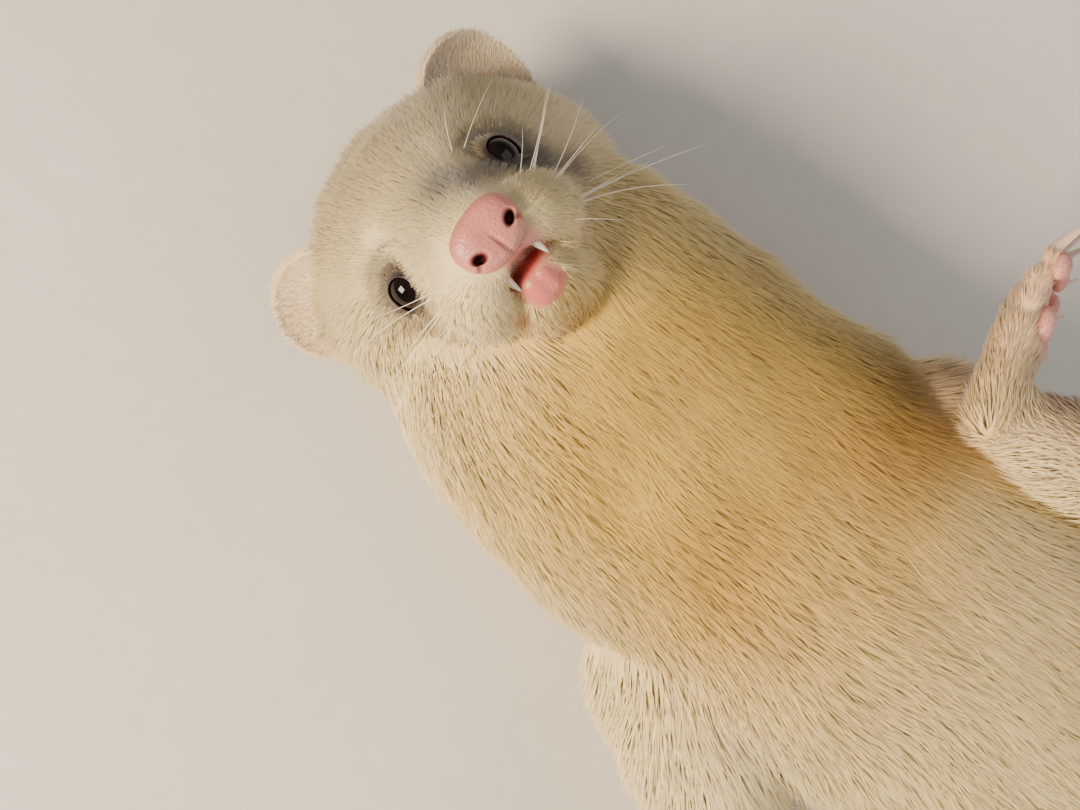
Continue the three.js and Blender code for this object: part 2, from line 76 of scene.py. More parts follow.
EYE_SPACING = 25.8
EYE_RADIUS = 3.8
EYE_SINK = 2.2
EYE_FORWARD = 2.4
EYE_DROP = 1.0
GAZE_TURN = math.radians(34)
NOSE_HALF_WIDTH = 5.6
NOSE_HALF_HEIGHT = 4.3
NOSE_REACH = 22.8
NOSE_DROP = 7.8
NOSTRIL_SPACING = 6.8
CANINE_LENGTH = 4.6
CANINE_SPACING = 6.6
CANINE_FORWARD = 18.2
GUM_LEVEL = -11.8
EAR_WIDTH = 23.5
EAR_HEIGHT = 24.0
TAIL_LENGTH = 138.0
CLAW_LENGTH = 6.5
TOES = 5
TOE_SPREAD = 3.3
TOE_FAN = 0.16
TOE_LENGTH = 13.0
TOE_RADIUS = 2.7
WRIST_SINK = 7.0
PALM_INSET = 0.6  # how far the skin of a palm lies within its solid
TOE_INSET = 0.75
PALM_WIDTHS = (3.0, 5.6, 7.0, 7.6, 5.6)
PALM_DEPTHS = (2.6, 4.6, 4.2, 3.7, 2.6)

# Stations of the head along its own axis from the back of the head to the lips:
# distance towards the nose, half width, level of the greatest width, top, bottom, power of the section.
HEAD_STATIONS = (
    (-48, 3, 3, 6, 0, 2),
    (-46.5, 13, 3, 13, -8, 2),
    (-43, 20, 3, 19.5, -15, 2),
    (-37, 26.5, 2, 24, -21, 2),
    (-30, 30.2, 0.5, 26, -25.5, 2),
    (-22, 31.2, -2, 25, -27.5, 2),
    (-15, 29.6, -4, 22, -28, 2.05),
    (-9, 26, -5.5, 18.2, -27.4, 2.15),
    (-4, 21.6, -7, 14.4, -26.4, 2.1),
    (0, 17.6, -8.4, 11, -25, 2.05),
    (5, 13.6, -9.6, 7, -23.4, 2.05),
    (10, 10.6, -10.2, 3.4, -21.6, 2.1),
    (14.4, 8.8, -10.2, 0.2, -19, 2.1),
    (18, 7.6, -9.4, -2.2, -16, 2.1),
    (20.4, 5.6, -8.6, -4.2, -13, 2),
)
JAW_STATIONS = (
    (-2, 8.6, -19.4, -14.6, -26.4, 2.1),
    (3, 8.2, -18.8, -14.2, -25.2, 2.1),
    (8, 7.2, -18.2, -13.8, -23.8, 2.2),
    (12, 6.1, -17.6, -13.4, -22.4, 2.2),
    (14.8, 5, -17.2, -13.4, -21.2, 2.2),
    (16.8, 3.4, -16.9, -14.3, -19.7, 2.1),
    (17.7, 1.3, -16.8, -15.8, -17.9, 2),
)

# Stations of the body: x, y, z of the middle, half width, height above it, depth below it, power.
BODY_STATIONS = (
    (-134, 9, 22, 8, 7, 7, 2),
    (-128, 8.6, 22, 18, 16, 18, 2),
    (-116, 7, 23, 28, 26, 24, 2),
    (-104, 5, 25, 33, 28.5, 27, 2.1),
    (-90, 2.8, 26.5, 35.8, 29, 28.5, 2.15),
    (-74, 0.8, 27, 37.4, 29, 29, 2.2),
    (-58, 0, 27.5, 38.4, 29.5, 29.5, 2.2),
    (-38, 0, 28.5, 39.4, 30.5, 30.5, 2.2),
    (-12, 0, 29, 41, 33.5, 31, 2.15),
    (16, 0, 28.5, 41.4, 35, 30.5, 2.15),
    (46, 0, 27.5, 41.6, 32.5, 29.5, 2.2),
    (78, 0, 26.5, 41.2, 28, 28.5, 2.25),
    (108, 0, 26.5, 39.4, 26.5, 28.5, 2.25),
    (136, 0, 27.5, 38.4, 28.5, 29.5, 2.15),
    (160, 0, 28, 37, 29, 30, 2.1),
    (180, 0, 26.5, 31, 26, 28, 2.05),
    (194, 0, 24, 23, 20, 24, 2),
    (203, 0, 21, 12, 11, 14, 2),
    (206, 0, 19.5, 3, 3, 3, 2),
)
TAIL_ROOT = (190.0, 0.0, 17.0)
TAIL_RADII = (13.5, 12.6, 11.6, 10.6, 9.2, 6.6, 1.4)
TAIL_BEND = 34.0
TAIL_SINK = 0.9


@dataclass(frozen=True)
class LegPlan:
    """The stations of one leg and the place of its paw.

    Each station is x, y, z, half width, half depth, and side is the direction of the width.
    """

    name: str
    upper_side: Triple
    upper: tuple[tuple[float, ...], ...]
    lower_side: Triple
    lower: tuple[tuple[float, ...], ...]
    wrist: Triple
    along: Triple
    palm: Triple
    palm_length: float
    curl: float


LEGS = (
    LegPlan(
        "fore_left",
        (0.2, -0.3, 1),
        (
            (-46, 18, 32, 15, 14), (-32, 27, 36, 17, 15), (-14, 33, 41, 15, 13.5),
            (1, 37, 44, 12.5, 12), (9, 38.5, 45, 6, 6),
        ),
        (0, 1, 0.2),
        (
            (7, 38, 46, 7, 7), (0, 38, 49, 11.5, 10.5), (-16, 35, 55, 9.8, 9),
            (-30, 31.5, 60.5, 7.4, 6.6), (-39.5, 29, 63.6, 5.6, 5),
        ),
        (-38.8, 30.5, 63.6),
        (-0.03, 0.93, -0.37),
        (0.77, 0.26, 0.6),
        17,
        0.2,
    ),
    LegPlan(
        "fore_right",
        (0.3, 0.2, 1),
        (
            (-56, -17, 29, 15, 15), (-45, -30, 30, 18.5, 17), (-29, -42, 30, 18, 16),
            (-13, -53, 28.5, 14, 13), (-5, -58, 27.5, 7, 7),
        ),
        (1, 0, 0),
        (
            (-6, -53, 27.5, 7, 7), (-5, -60, 27, 11.5, 11), (-6, -75, 22.5, 9.8, 9.2),
            (-10, -90, 16.5, 7.4, 6.8), (-13, -100, 12.6, 5.6, 5),
        ),
        (-13.4, -100, 12.4),
        (-0.42, -0.88, -0.22),
        (-0.2, 0.1, -0.95),
        17,
        0.45,
    ),
    LegPlan(
        "hind_left",
        (0.8, 0.6, 0),
        (
            (170, 8, 29, 22, 18), (158, 22, 33, 23.5, 19), (144, 37, 40.5, 19.5, 17),
            (131, 49, 46.5, 13.5, 13.5), (125, 54, 49, 7, 7),
        ),
        (0, 0.3, 1),
        (
            (124, 51, 48, 7, 7), (130, 53, 47, 12.5, 12), (144, 59, 41, 11, 10),
            (158, 65, 34, 8, 7.2), (168, 69, 29.5, 6, 5.6),
        ),
        (168, 69.4, 29.6),
        (0.86, 0.36, 0.34),
        (0.3, 0.18, -0.94),
        33,
        0.5,
    ),
    LegPlan(
        "hind_right",
        (0.8, -0.6, 0),
        (
            (170, -8, 28, 22, 18), (158, -23, 30, 23.5, 19), (145, -40, 35, 19.5, 17),
            (132, -54, 39, 13.5, 13.5), (126, -59, 40, 7, 7),
        ),
        (0, -0.3, 1),
        (
            (125, -56, 40, 7, 7), (131, -58, 39, 12.5, 12), (146, -64, 33, 11, 10),
            (161, -70, 26, 8, 7.2), (171, -74, 21.5, 6, 5.6),
        ),
        (171, -74.4, 21.6),
        (0.9, -0.34, 0.2),
        (0.14, -0.2, -0.95),
        33,
        0.5,
    ),
)


# Array mathematics


def unit(vectors: Array) -> Array:
    """The vectors brought to length 1, along the last axis."""
    return vectors / np.maximum(np.linalg.norm(vectors, axis=-1, keepdims=True), 1e-9)


def smoothstep(low: float, high: float, values: Array) -> Array:
    """0 below low, 1 above high, and 3t² − 2t³ between them."""
    t = np.clip((values - low) / (high - low), 0, 1)
    return t * t * (3 - 2 * t)


def bump(offsets: Array, radii: Sequence[float]) -> Array:
    """A soft blob: exp(−Σ(d/r)²), 1 in the middle and 0.37 on the ellipsoid of the radii."""
    return np.exp(-np.sum((offsets / np.asarray(radii)) ** 2, axis=-1))


def eased(rows: Array, count: int) -> Array:
    """Rows of numbers, eased from one to the next by a Catmull-Rom spline through each column.

    Args:
        rows: the given rows, (n, columns).
        count: how many rows are wanted, evenly spaced in the index of the given ones.

    Returns:
        The eased rows, (count, columns).
    """
    t = np.linspace(0, len(rows) - 1, count)
    i = np.clip(t.astype(int), 0, len(rows) - 2)
    f = (t - i)[:, None]
    before, start = rows[np.maximum(i - 1, 0)], rows[i]
    end, after = rows[i + 1], rows[np.minimum(i + 2, len(rows) - 1)]
    straight = 2 * start + (end - before) * f
    square = (2 * before - 5 * start + 4 * end - after) * f**2
    cube = (3 * start - before - 3 * end + after) * f**3
    return 0.5 * (straight + square + cube)


def waves(points: Array, wavelength: float, seed: int, channels: int = 1) -> Array:
    """Smooth noise: the mean of eight sine waves in random directions, about −1 to 1.

    Args:
        points: where it is wanted, (n, 3).
        wavelength: the mean length of a wave, in millimetres.
        seed: fixes the directions.
        channels: how many separate noises are wanted.

    Returns:
        The noise, (n, channels).
    """
    rng = np.random.default_rng(seed)
    heads = unit(rng.normal(size=(channels, 8, 3))) * (2 * math.pi / wavelength)
    heads *= rng.uniform(0.6, 1.5, (channels, 8, 1))
    phases = rng.uniform(0, 2 * math.pi, (channels, 8))
    return np.sin(np.einsum("nk,cwk->ncw", points, heads) + phases).mean(axis=2) * 1.8


@dataclass(frozen=True)
class Place:
    """A turned place: its origin and its three axes, one a row."""

    origin: Array
    axes: Array

    def world(self, points: Array) -> Array:
        """Points given in this place, in the body's frame."""
        return self.origin + points @ self.axes

    def local(self, points: Array) -> Array:
        """Points given in the body's frame, in this place."""
        return (points - self.origin) @ self.axes.T

    def turned(self, vectors: Array) -> Array:
        """Directions given in this place, in the body's frame."""
        return vectors @ self.axes


def head_place() -> Place:
    """The head's frame: x to its left, y to the crown, z to the nose, from between the eyes."""
    lean, turn = math.radians(3), math.radians(2.5)
    nose = unit(np.array([-math.sin(lean), -math.sin(turn), 1.0]))
    leftwards = unit(np.array([0, 1.0, 0]) - nose * nose[1])
    return Place(np.array([-120.0, 8.0, 44.0]), np.array([leftwards, np.cross(nose, leftwards), nose]))


HEAD = head_place()
BEFORE_NOSE = np.array([0, -9.0, NOSE_REACH + 6])  # the point of the head's frame from which its hair runs


def spun(axis: int, angle: float) -> Array:
    """The matrix that turns columns by the angle about axis 0, 1 or 2.

    Args:
        axis: 0, 1 or 2.
        angle: in radians.

    Returns:
        The matrix, (3, 3).
    """
    c, s = math.cos(angle), math.sin(angle)
    i, j = [(1, 2), (2, 0), (0, 1)][axis]
    matrix = np.eye(3)
    matrix[i, i] = matrix[j, j] = c
    matrix[j, i], matrix[i, j] = s, -s
    return matrix


# Meshes


def mesh_object(name: str, points: Array, faces: Faces) -> Item:
    """A smooth-shaded mesh object at the origin.

    Args:
        name: the object's name.
        points: the vertices in millimetres, (n, 3).
        faces: arrays of faces, each (k, corners).

    Returns:
        The object, linked to the scene.
    """
    mesh = bpy.data.meshes.new(name)
    corners = np.concatenate([f.ravel() for f in faces]).astype(np.int32)
    sizes = np.concatenate([np.full(len(f), f.shape[1]) for f in faces])
    mesh.vertices.add(len(points))
    mesh.vertices.foreach_set("co", (points * MM).astype(np.float32).ravel())
    mesh.loops.add(len(corners))
    mesh.loops.foreach_set("vertex_index", corners)
    mesh.polygons.add(len(sizes))
    mesh.polygons.foreach_set("loop_start", np.concatenate([[0], np.cumsum(sizes)[:-1]]).astype(np.int32))
    mesh.update(calc_edges=True)
    mesh.polygons.foreach_set("use_smooth", np.ones(len(sizes), bool))
    item = bpy.data.objects.new(name, mesh)
    bpy.context.scene.collection.objects.link(item)
    return item


def grid_faces(rows: int, columns: int, closed: bool = True) -> Array:
    """The quads of a grid of points, row by row, whose columns close into a ring if closed.

    Args:
        rows, columns: the size of the grid.
        closed: whether the last column is joined to the first.

    Returns:
        The quads, (n, 4).
    """
    i, j = np.meshgrid(np.arange(rows - 1), np.arange(columns if closed else columns - 1), indexing="ij")
    k = (j + 1) % columns
    quads = np.stack([i * columns + j, i * columns + k, (i + 1) * columns + k, (i + 1) * columns + j], -1)
    return quads.reshape(-1, 4)


def capped(grid: Array) -> Shell:
    """A closed surface from rings of points, with a fan over each end.

    Args:
        grid: the rings, (rows, columns, 3), counter-clockwise seen from the last one outside.

    Returns:
        The points and the faces.
    """
    rows, columns = grid.shape[:2]
    points = np.concatenate([grid.reshape(-1, 3), grid[0].mean(0)[None], grid[-1].mean(0)[None]])
    j = np.arange(columns)
    k = (j + 1) % columns
    end = columns * (rows - 1)
    first = np.stack([np.full(columns, rows * columns), k, j], -1)
    last = np.stack([np.full(columns, rows * columns + 1), end + j, end + k], -1)
    return points, [grid_faces(rows, columns), first, last]


def joined(shells: Sequence[Shell]) -> Shell:
    """Several surfaces as one list of points and faces.

    Args:
        shells: the surfaces.

    Returns:
        Their points and faces.
    """
    points, faces, count = [], [], 0
    for shell_points, shell_faces in shells:
        points.append(shell_points)
        faces.extend(f + count for f in shell_faces)
        count += len(shell_points)
    return np.concatenate(points), faces


def ball(centre: Array, axes: Array, rows: int = 24, columns: int = 36) -> Shell:
    """An ellipsoid. A point is centre + sin a·cos b·axis0 + sin a·sin b·axis1 − cos a·axis2.

    Args:
        centre: its middle.
        axes: its half axes, one in each row.
        rows, columns: how many rings it has, and points in a ring.

    Returns:
        The points and the faces.
    """
    a = np.linspace(0.02, math.pi - 0.02, rows)[:, None]
    b = np.linspace(0, 2 * math.pi, columns, endpoint=False)[None]
    shape = np.stack([np.sin(a) * np.cos(b), np.sin(a) * np.sin(b), -np.cos(a) * np.ones_like(b)], -1)
    return capped(centre + shape @ axes)


def read_mesh(mesh: bpy.types.Mesh) -> tuple[Array, Array, Array]:
    """The points in millimetres, the triangles and the vertex normals of a mesh.

    Args:
        mesh: the mesh, in metres.

    Returns:
        Three arrays, each (n, 3).
    """
    points = np.empty(len(mesh.vertices) * 3, np.float32)
    mesh.vertices.foreach_get("co", points)
    normals = np.empty(len(mesh.vertices) * 3, np.float32)
    mesh.vertices.foreach_get("normal", normals)
    mesh.calc_loop_triangles()
    triangles = np.empty(len(mesh.loop_triangles) * 3, np.int32)
    mesh.loop_triangles.foreach_get("vertices", triangles)
    points, normals = (values.reshape(-1, 3).astype(float) for values in (points, normals))
    return points / MM, triangles.reshape(-1, 3), normals


def applied(item: Item) -> Item:
    """The object with its modifiers made part of its mesh.

    Args:
        item: the object.

    Returns:
        The same object.
    """
    evaluated = item.evaluated_get(bpy.context.evaluated_depsgraph_get())
    mesh = bpy.data.meshes.new_from_object(evaluated)
    item.modifiers.clear()
    item.data = mesh
    return item


def store(item: Item, name: str, values: Array) -> None:
    """Keeps a number or a colour for each vertex as an attribute of that name.

    Args:
        item: the object.
        name: the attribute's name.
        values: (n,) or (n, 3).
    """
    if values.ndim == 1:
        item.data.attributes.new(name, "FLOAT", "POINT").data.foreach_set("value", values.astype(np.float32))
        return
    rgba = np.ones((len(values), 4), np.float32)
    rgba[:, :3] = values
    item.data.attributes.new(name, "FLOAT_COLOR", "POINT").data.foreach_set("color", rgba.ravel())


# Colours


def linear(code: str) -> Array:
    """An sRGB hex colour as linear red, green and blue."""
    srgb = np.array([int(code[i : i + 2], 16) for i in (1, 3, 5)]) / 255
    return np.where(srgb <= 0.04045, srgb / 12.92, ((srgb + 0.055) / 1.055) ** 2.4)


def mixed(under: Array, over: Array, share: Array) -> Array:
    """Colours laid over others by a share from 0 to 1 at each point."""
    return under + (over - under) * share[:, None]


class Tone(Enum):
    """The colours of the animal in plain light, except that SHADE and part of CROWN are painted shade."""

    CREAM = "#ebd494"  # guard hair of trunk and legs
    WHITE = "#f4e2b0"  # flanks, cheeks and chin
    CROWN = "#bca97a"  # top of the head: greyer fur, darkened further as painted shade where the light falls off
    SHADE = "#625a50"  # grey fur deepened into painted shade: the nose's shadow beside the bridge, and round the eyes
    GOLD = "#e4ba58"  # stain on throat and chest
    TAWNY = "#d39e44"  # stain behind the forelegs and on the tail, also used for painted warm light on the chest
    BACK = "#dfc789"  # back of the trunk
    BLUSH = "#e3b09a"  # thin hair over pink skin: muzzle, ears, paws
    LIP = "#d0766c"  # bare wet lip
    GUM = "#8e2f2a"  # inside of the mouth
    RIM = "#2c201d"  # rims of the eyelids
    FUZZ = "#f0dab4"  # short hair of the ears
    PAD = "#dba196"  # pads of the paws


def tone(name: Tone) -> Array:
    """One of the animal's colours, linear."""
    return linear(name.value)


# The form of the body


@dataclass
class Loft:
    """Rounded sections along a path.

    At angle a, a point lies half·|cos a|^(2/power) across and above or below·|sin a|^(2/power) up from
    the section's centre, with the signs of the cosine and the sine.
    """

    centre: Array
    right: Array
    up: Array
    half: Array
    above: Array
    below: Array
    power: Array

    def rings(self, sides: int, inset: Array | float = 0.0) -> Array:
        """The sections as rings of points, each drawn in by inset.

        Args:
            sides: points in a ring.
            inset: how far they are drawn in.

        Returns:
            The points, (sections, sides, 3).
        """
        angle = np.linspace(0, 2 * math.pi, sides, endpoint=False)[None]
        c, s = np.cos(angle), np.sin(angle)
        inset = np.broadcast_to(inset, self.half.shape)[:, None]
        exponent = 2 / self.power[:, None]
        across = (self.half[:, None] - inset) * np.sign(c) * np.abs(c) ** exponent
        reach = np.where(s > 0, self.above[:, None], self.below[:, None]) - inset
        height = reach * np.sign(s) * np.abs(s) ** exponent
        rings = self.centre[:, None] + across[..., None] * self.right[:, None]
        return rings + height[..., None] * self.up[:, None]

    def tangents(self) -> Array:
        """The direction of the path at each section."""
        return unit(np.gradient(self.centre, axis=0))


def head_loft(stations: Sequence[Sequence[float]], count: int) -> Loft:
    """A loft along the head's own axis, from stations as in HEAD_STATIONS."""
    z, half, level, top, bottom, power = eased(np.array(stations, float), count).T
    centre = HEAD.world(np.stack([0 * z, level, z], -1))
    right, up = (np.tile(HEAD.axes[k], (count, 1)) for k in (0, 1))
    return Loft(centre, right, up, half, top - level, level - bottom, power)


def trunk_loft(count: int) -> Loft:
    """The trunk, from inside the head to the rump."""
    rows = eased(np.array(BODY_STATIONS, float), count)
    right, up = (np.tile(axis, (count, 1)) for axis in ([0.0, 1, 0], [0.0, 0, 1]))
    return Loft(rows[:, :3], right, up, *rows[:, 3:].T)


def limb_loft(stations: Sequence[Sequence[float]], side: Sequence[float], count: int) -> Loft:
    """A round limb through stations of x, y, z, half width and half depth.

    Args:
        stations: the stations from the root outwards.
        side: the direction of the width.
        count: how many sections are wanted.

    Returns:
        The loft, whose up is the path's direction crossed with side.
    """
    rows = eased(np.array(stations, float), count)
    along = unit(np.gradient(rows[:, :3], axis=0))
    up = unit(np.cross(along, np.asarray(side, float)))
    right = unit(np.cross(up, along))
    return Loft(rows[:, :3], right, up, rows[:, 3], rows[:, 4], rows[:, 4], np.full(count, 2.0))


def tail_stations() -> Array:
    """Stations of the tail: it settles on the floor behind the rump and bends to the left."""
    t = np.linspace(0, 1, len(TAIL_RADII))
    radius = np.array(TAIL_RADII)
    settled = np.minimum(1, t / 0.22)
    height = TAIL_ROOT[2] + (radius - TAIL_SINK - TAIL_ROOT[2]) * settled
    side = TAIL_BEND * t * t * (1.6 - 0.6 * t)
    return np.stack([TAIL_ROOT[0] + (TAIL_LENGTH - 2) * t, side, height, radius, radius], -1)


class Lie(Enum):
    """How the hair of a part lies."""

    ALONG = "from the root of the part to its end"
    FROM_NOSE = "away from the tip of the nose"


@dataclass
class Part:
    """A part of the body with its coat.

    depth is how far the skin lies under the tips of the coat and hair how long the hair is, each given
    at even steps along the part.
    """

    name: str
    loft: Loft
    depth: Sequence[float]
    hair: Sequence[float]
    width: Sequence[float]
    lie: Lie = Lie.ALONG
    sides: int = 40

    def spread(self, values: Sequence[float]) -> Array:
        """Values given at even steps along the part, one for each section."""
        steps = np.linspace(0, 1, len(values))
        return np.interp(np.linspace(0, 1, len(self.loft.half)), steps, values)

    def shell(self) -> Shell:
        """The part's own skin, drawn in by the depth of the coat."""
        return capped(self.loft.rings(self.sides, self.spread(self.depth)))

    def locate(self, points: Array) -> tuple[Array, Array, Array]:
        """Where points lie along and round the part.

        Args:
            points: (n, 3).

        Returns:
            The number of the nearest section, the angle round it, and the distance from its middle
            as a share of its radius.
        """
        section = np.empty(len(points), int)
        for part in np.array_split(np.arange(len(points)), max(1, len(points) // 20000)):
            gaps = np.linalg.norm(points[part, None] - self.loft.centre[None], axis=2)
            section[part] = gaps.argmin(axis=1)
        offset = points - self.loft.centre[section]
        across = np.sum(offset * self.loft.right[section], axis=1)
        height = np.sum(offset * self.loft.up[section], axis=1)
        radius = (self.loft.half + 0.5 * (self.loft.above + self.loft.below)) / 2
        return section, np.arctan2(height, across), np.linalg.norm(offset, axis=1) / radius[section]


@dataclass
class Paw:
    """One paw, in its own frame: x along the toes, y across, z out of its back."""

    plan: LegPlan
    place: Place = field(init=False)

    def __post_init__(self) -> None:
        """Finds the paw's frame from its length and the way that the palm faces."""
        x = unit(np.array(self.plan.along, float))
        palm = np.array(self.plan.palm, float)
        z = -unit(palm - x * (palm @ x))
        self.place = Place(np.array(self.plan.wrist, float), np.array([x, np.cross(z, x), z]))

    def bent(self, toe: int, t: Array) -> Array:
        """Points along a toe: it fans out from the palm and bends towards it by the curl.

        Args:
            toe: which toe, from 0.
            t: shares of the toe's length, (n,).

        Returns:
            The points in the paw's frame, (n, 3).
        """
        offset = toe - (TOES - 1) / 2
        fan, curl = offset * TOE_FAN, self.plan.curl
        reach = TOE_LENGTH * (1 - 0.07 * offset * offset)
        root = np.array([self.plan.palm_length - 0.8 - abs(offset), offset * TOE_SPREAD, -0.2])
        shape = [np.cos(curl * t) * math.cos(fan), np.full_like(t, math.sin(fan)), -np.sin(curl * t)]
        return root + reach * t[:, None] * np.stack(shape, -1)

    def palm_loft(self) -> Loft:
        """The palm, from inside the limb to the roots of the toes."""
        length = self.plan.palm_length
        reach = np.array([-WRIST_SINK, 0, length * 0.55, length, length + 3.5])
        middle = self.place.world(np.stack([reach, 0 * reach, 0 * reach], -1))
        stations = np.column_stack([middle, PALM_WIDTHS, PALM_DEPTHS])
        return limb_loft(stations, self.place.axes[1], 20)

    def toe_loft(self, toe: int) -> Loft:
        """A toe, thicker at its two joints.

        Args:
            toe: which toe, from 0.

        Returns:
            The loft.
        """
        t = np.linspace(0, 1.04, 14)
        swell = 0.9 + 0.1 * np.cos(4 * math.pi * (t - 0.4)) - 0.62 * smoothstep(0.86, 1.04, t)
        radius = TOE_RADIUS * swell
        stations = np.column_stack([self.place.world(self.bent(toe, t)), radius * 0.93, radius])
        return limb_loft(stations, self.place.axes[1], 20)

    def shells(self) -> list[Shell]:
        """The skin of palm and toes, drawn in by the short hair on them."""
        palm = capped(self.palm_loft().rings(28, PALM_INSET))
        return [palm] + [capped(self.toe_loft(toe).rings(16, TOE_INSET)) for toe in range(TOES)]

    def claw(self, toe: int) -> Shell:
        """A claw: a tapered horn, deeper than wide, that curves down to a fine point.

        Args:
            toe: which toe, from 0.

        Returns:
            The points and the faces.
        """
        t = np.linspace(0, 1, 12)
        tip = self.bent(toe, np.array([0.8, 0.84, 1.0]))
        ahead = unit(tip[2] - tip[0])
        middle = tip[1] + ahead * (CLAW_LENGTH * t[:, None] + 0.5)
        middle[:, 2] += 0.8 - 1.9 * t * t
        radius = 0.18 + 0.95 * (1 - t) ** 0.8
        line = self.place.world(middle)
        line[:, 2] = np.maximum(line[:, 2], radius + CLAW_GAP)
        stations = np.column_stack([line, radius * 0.62, radius])
        return capped(limb_loft(stations, self.place.axes[1], 12).rings(10))

    def pads(self) -> list[Shell]:
        """The pads: a lobed one behind the toes and one under the tip of each toe."""
        length = self.plan.palm_length
        domes = []
        for across, back in ((0.0, 1.6), (3.6, 3.2), (-3.6, 3.2)):
            domes.append((np.array([length - back, across, -2.9]), (3.0, 2.4, 1.45)))
        for toe in range(TOES):
            point = self.bent(toe, np.array([0.74]))[0]
            domes.append((point - np.array([0, 0, 1.4]), (2.3, 1.6, 1.2)))
        axes = self.place.axes
        return [ball(self.place.world(centre), np.diag(radii) @ axes, 14, 20) for centre, radii in domes]


def eye_centre(sign: int) -> Array:
    """The middle of an eyeball in the head's frame, on the left with sign 1 and the right with −1."""
    gaze = np.array([math.sin(GAZE_TURN), 0.06, math.cos(GAZE_TURN)])
    middle = np.array([EYE_SPACING / 2, -EYE_DROP, EYE_FORWARD]) - gaze * EYE_SINK
    return middle * [sign, 1, 1]


def gaze_of(sign: int) -> Array:
    """The way an eye looks, in the head's frame."""
    return unit(np.array([sign * math.sin(GAZE_TURN), 0.06, math.cos(GAZE_TURN)]))


def eye_axes(sign: int) -> Array:
    """Axes of an eye in the head's frame: towards its outer corner, across that, and its gaze."""
    gaze = gaze_of(sign)
    outwards = np.array([sign * math.cos(Eye.SLANT), -math.sin(Eye.SLANT), 0.0])
    corner = unit(outwards - gaze * (outwards @ gaze))
    return np.array([corner, np.cross(gaze, corner), gaze])


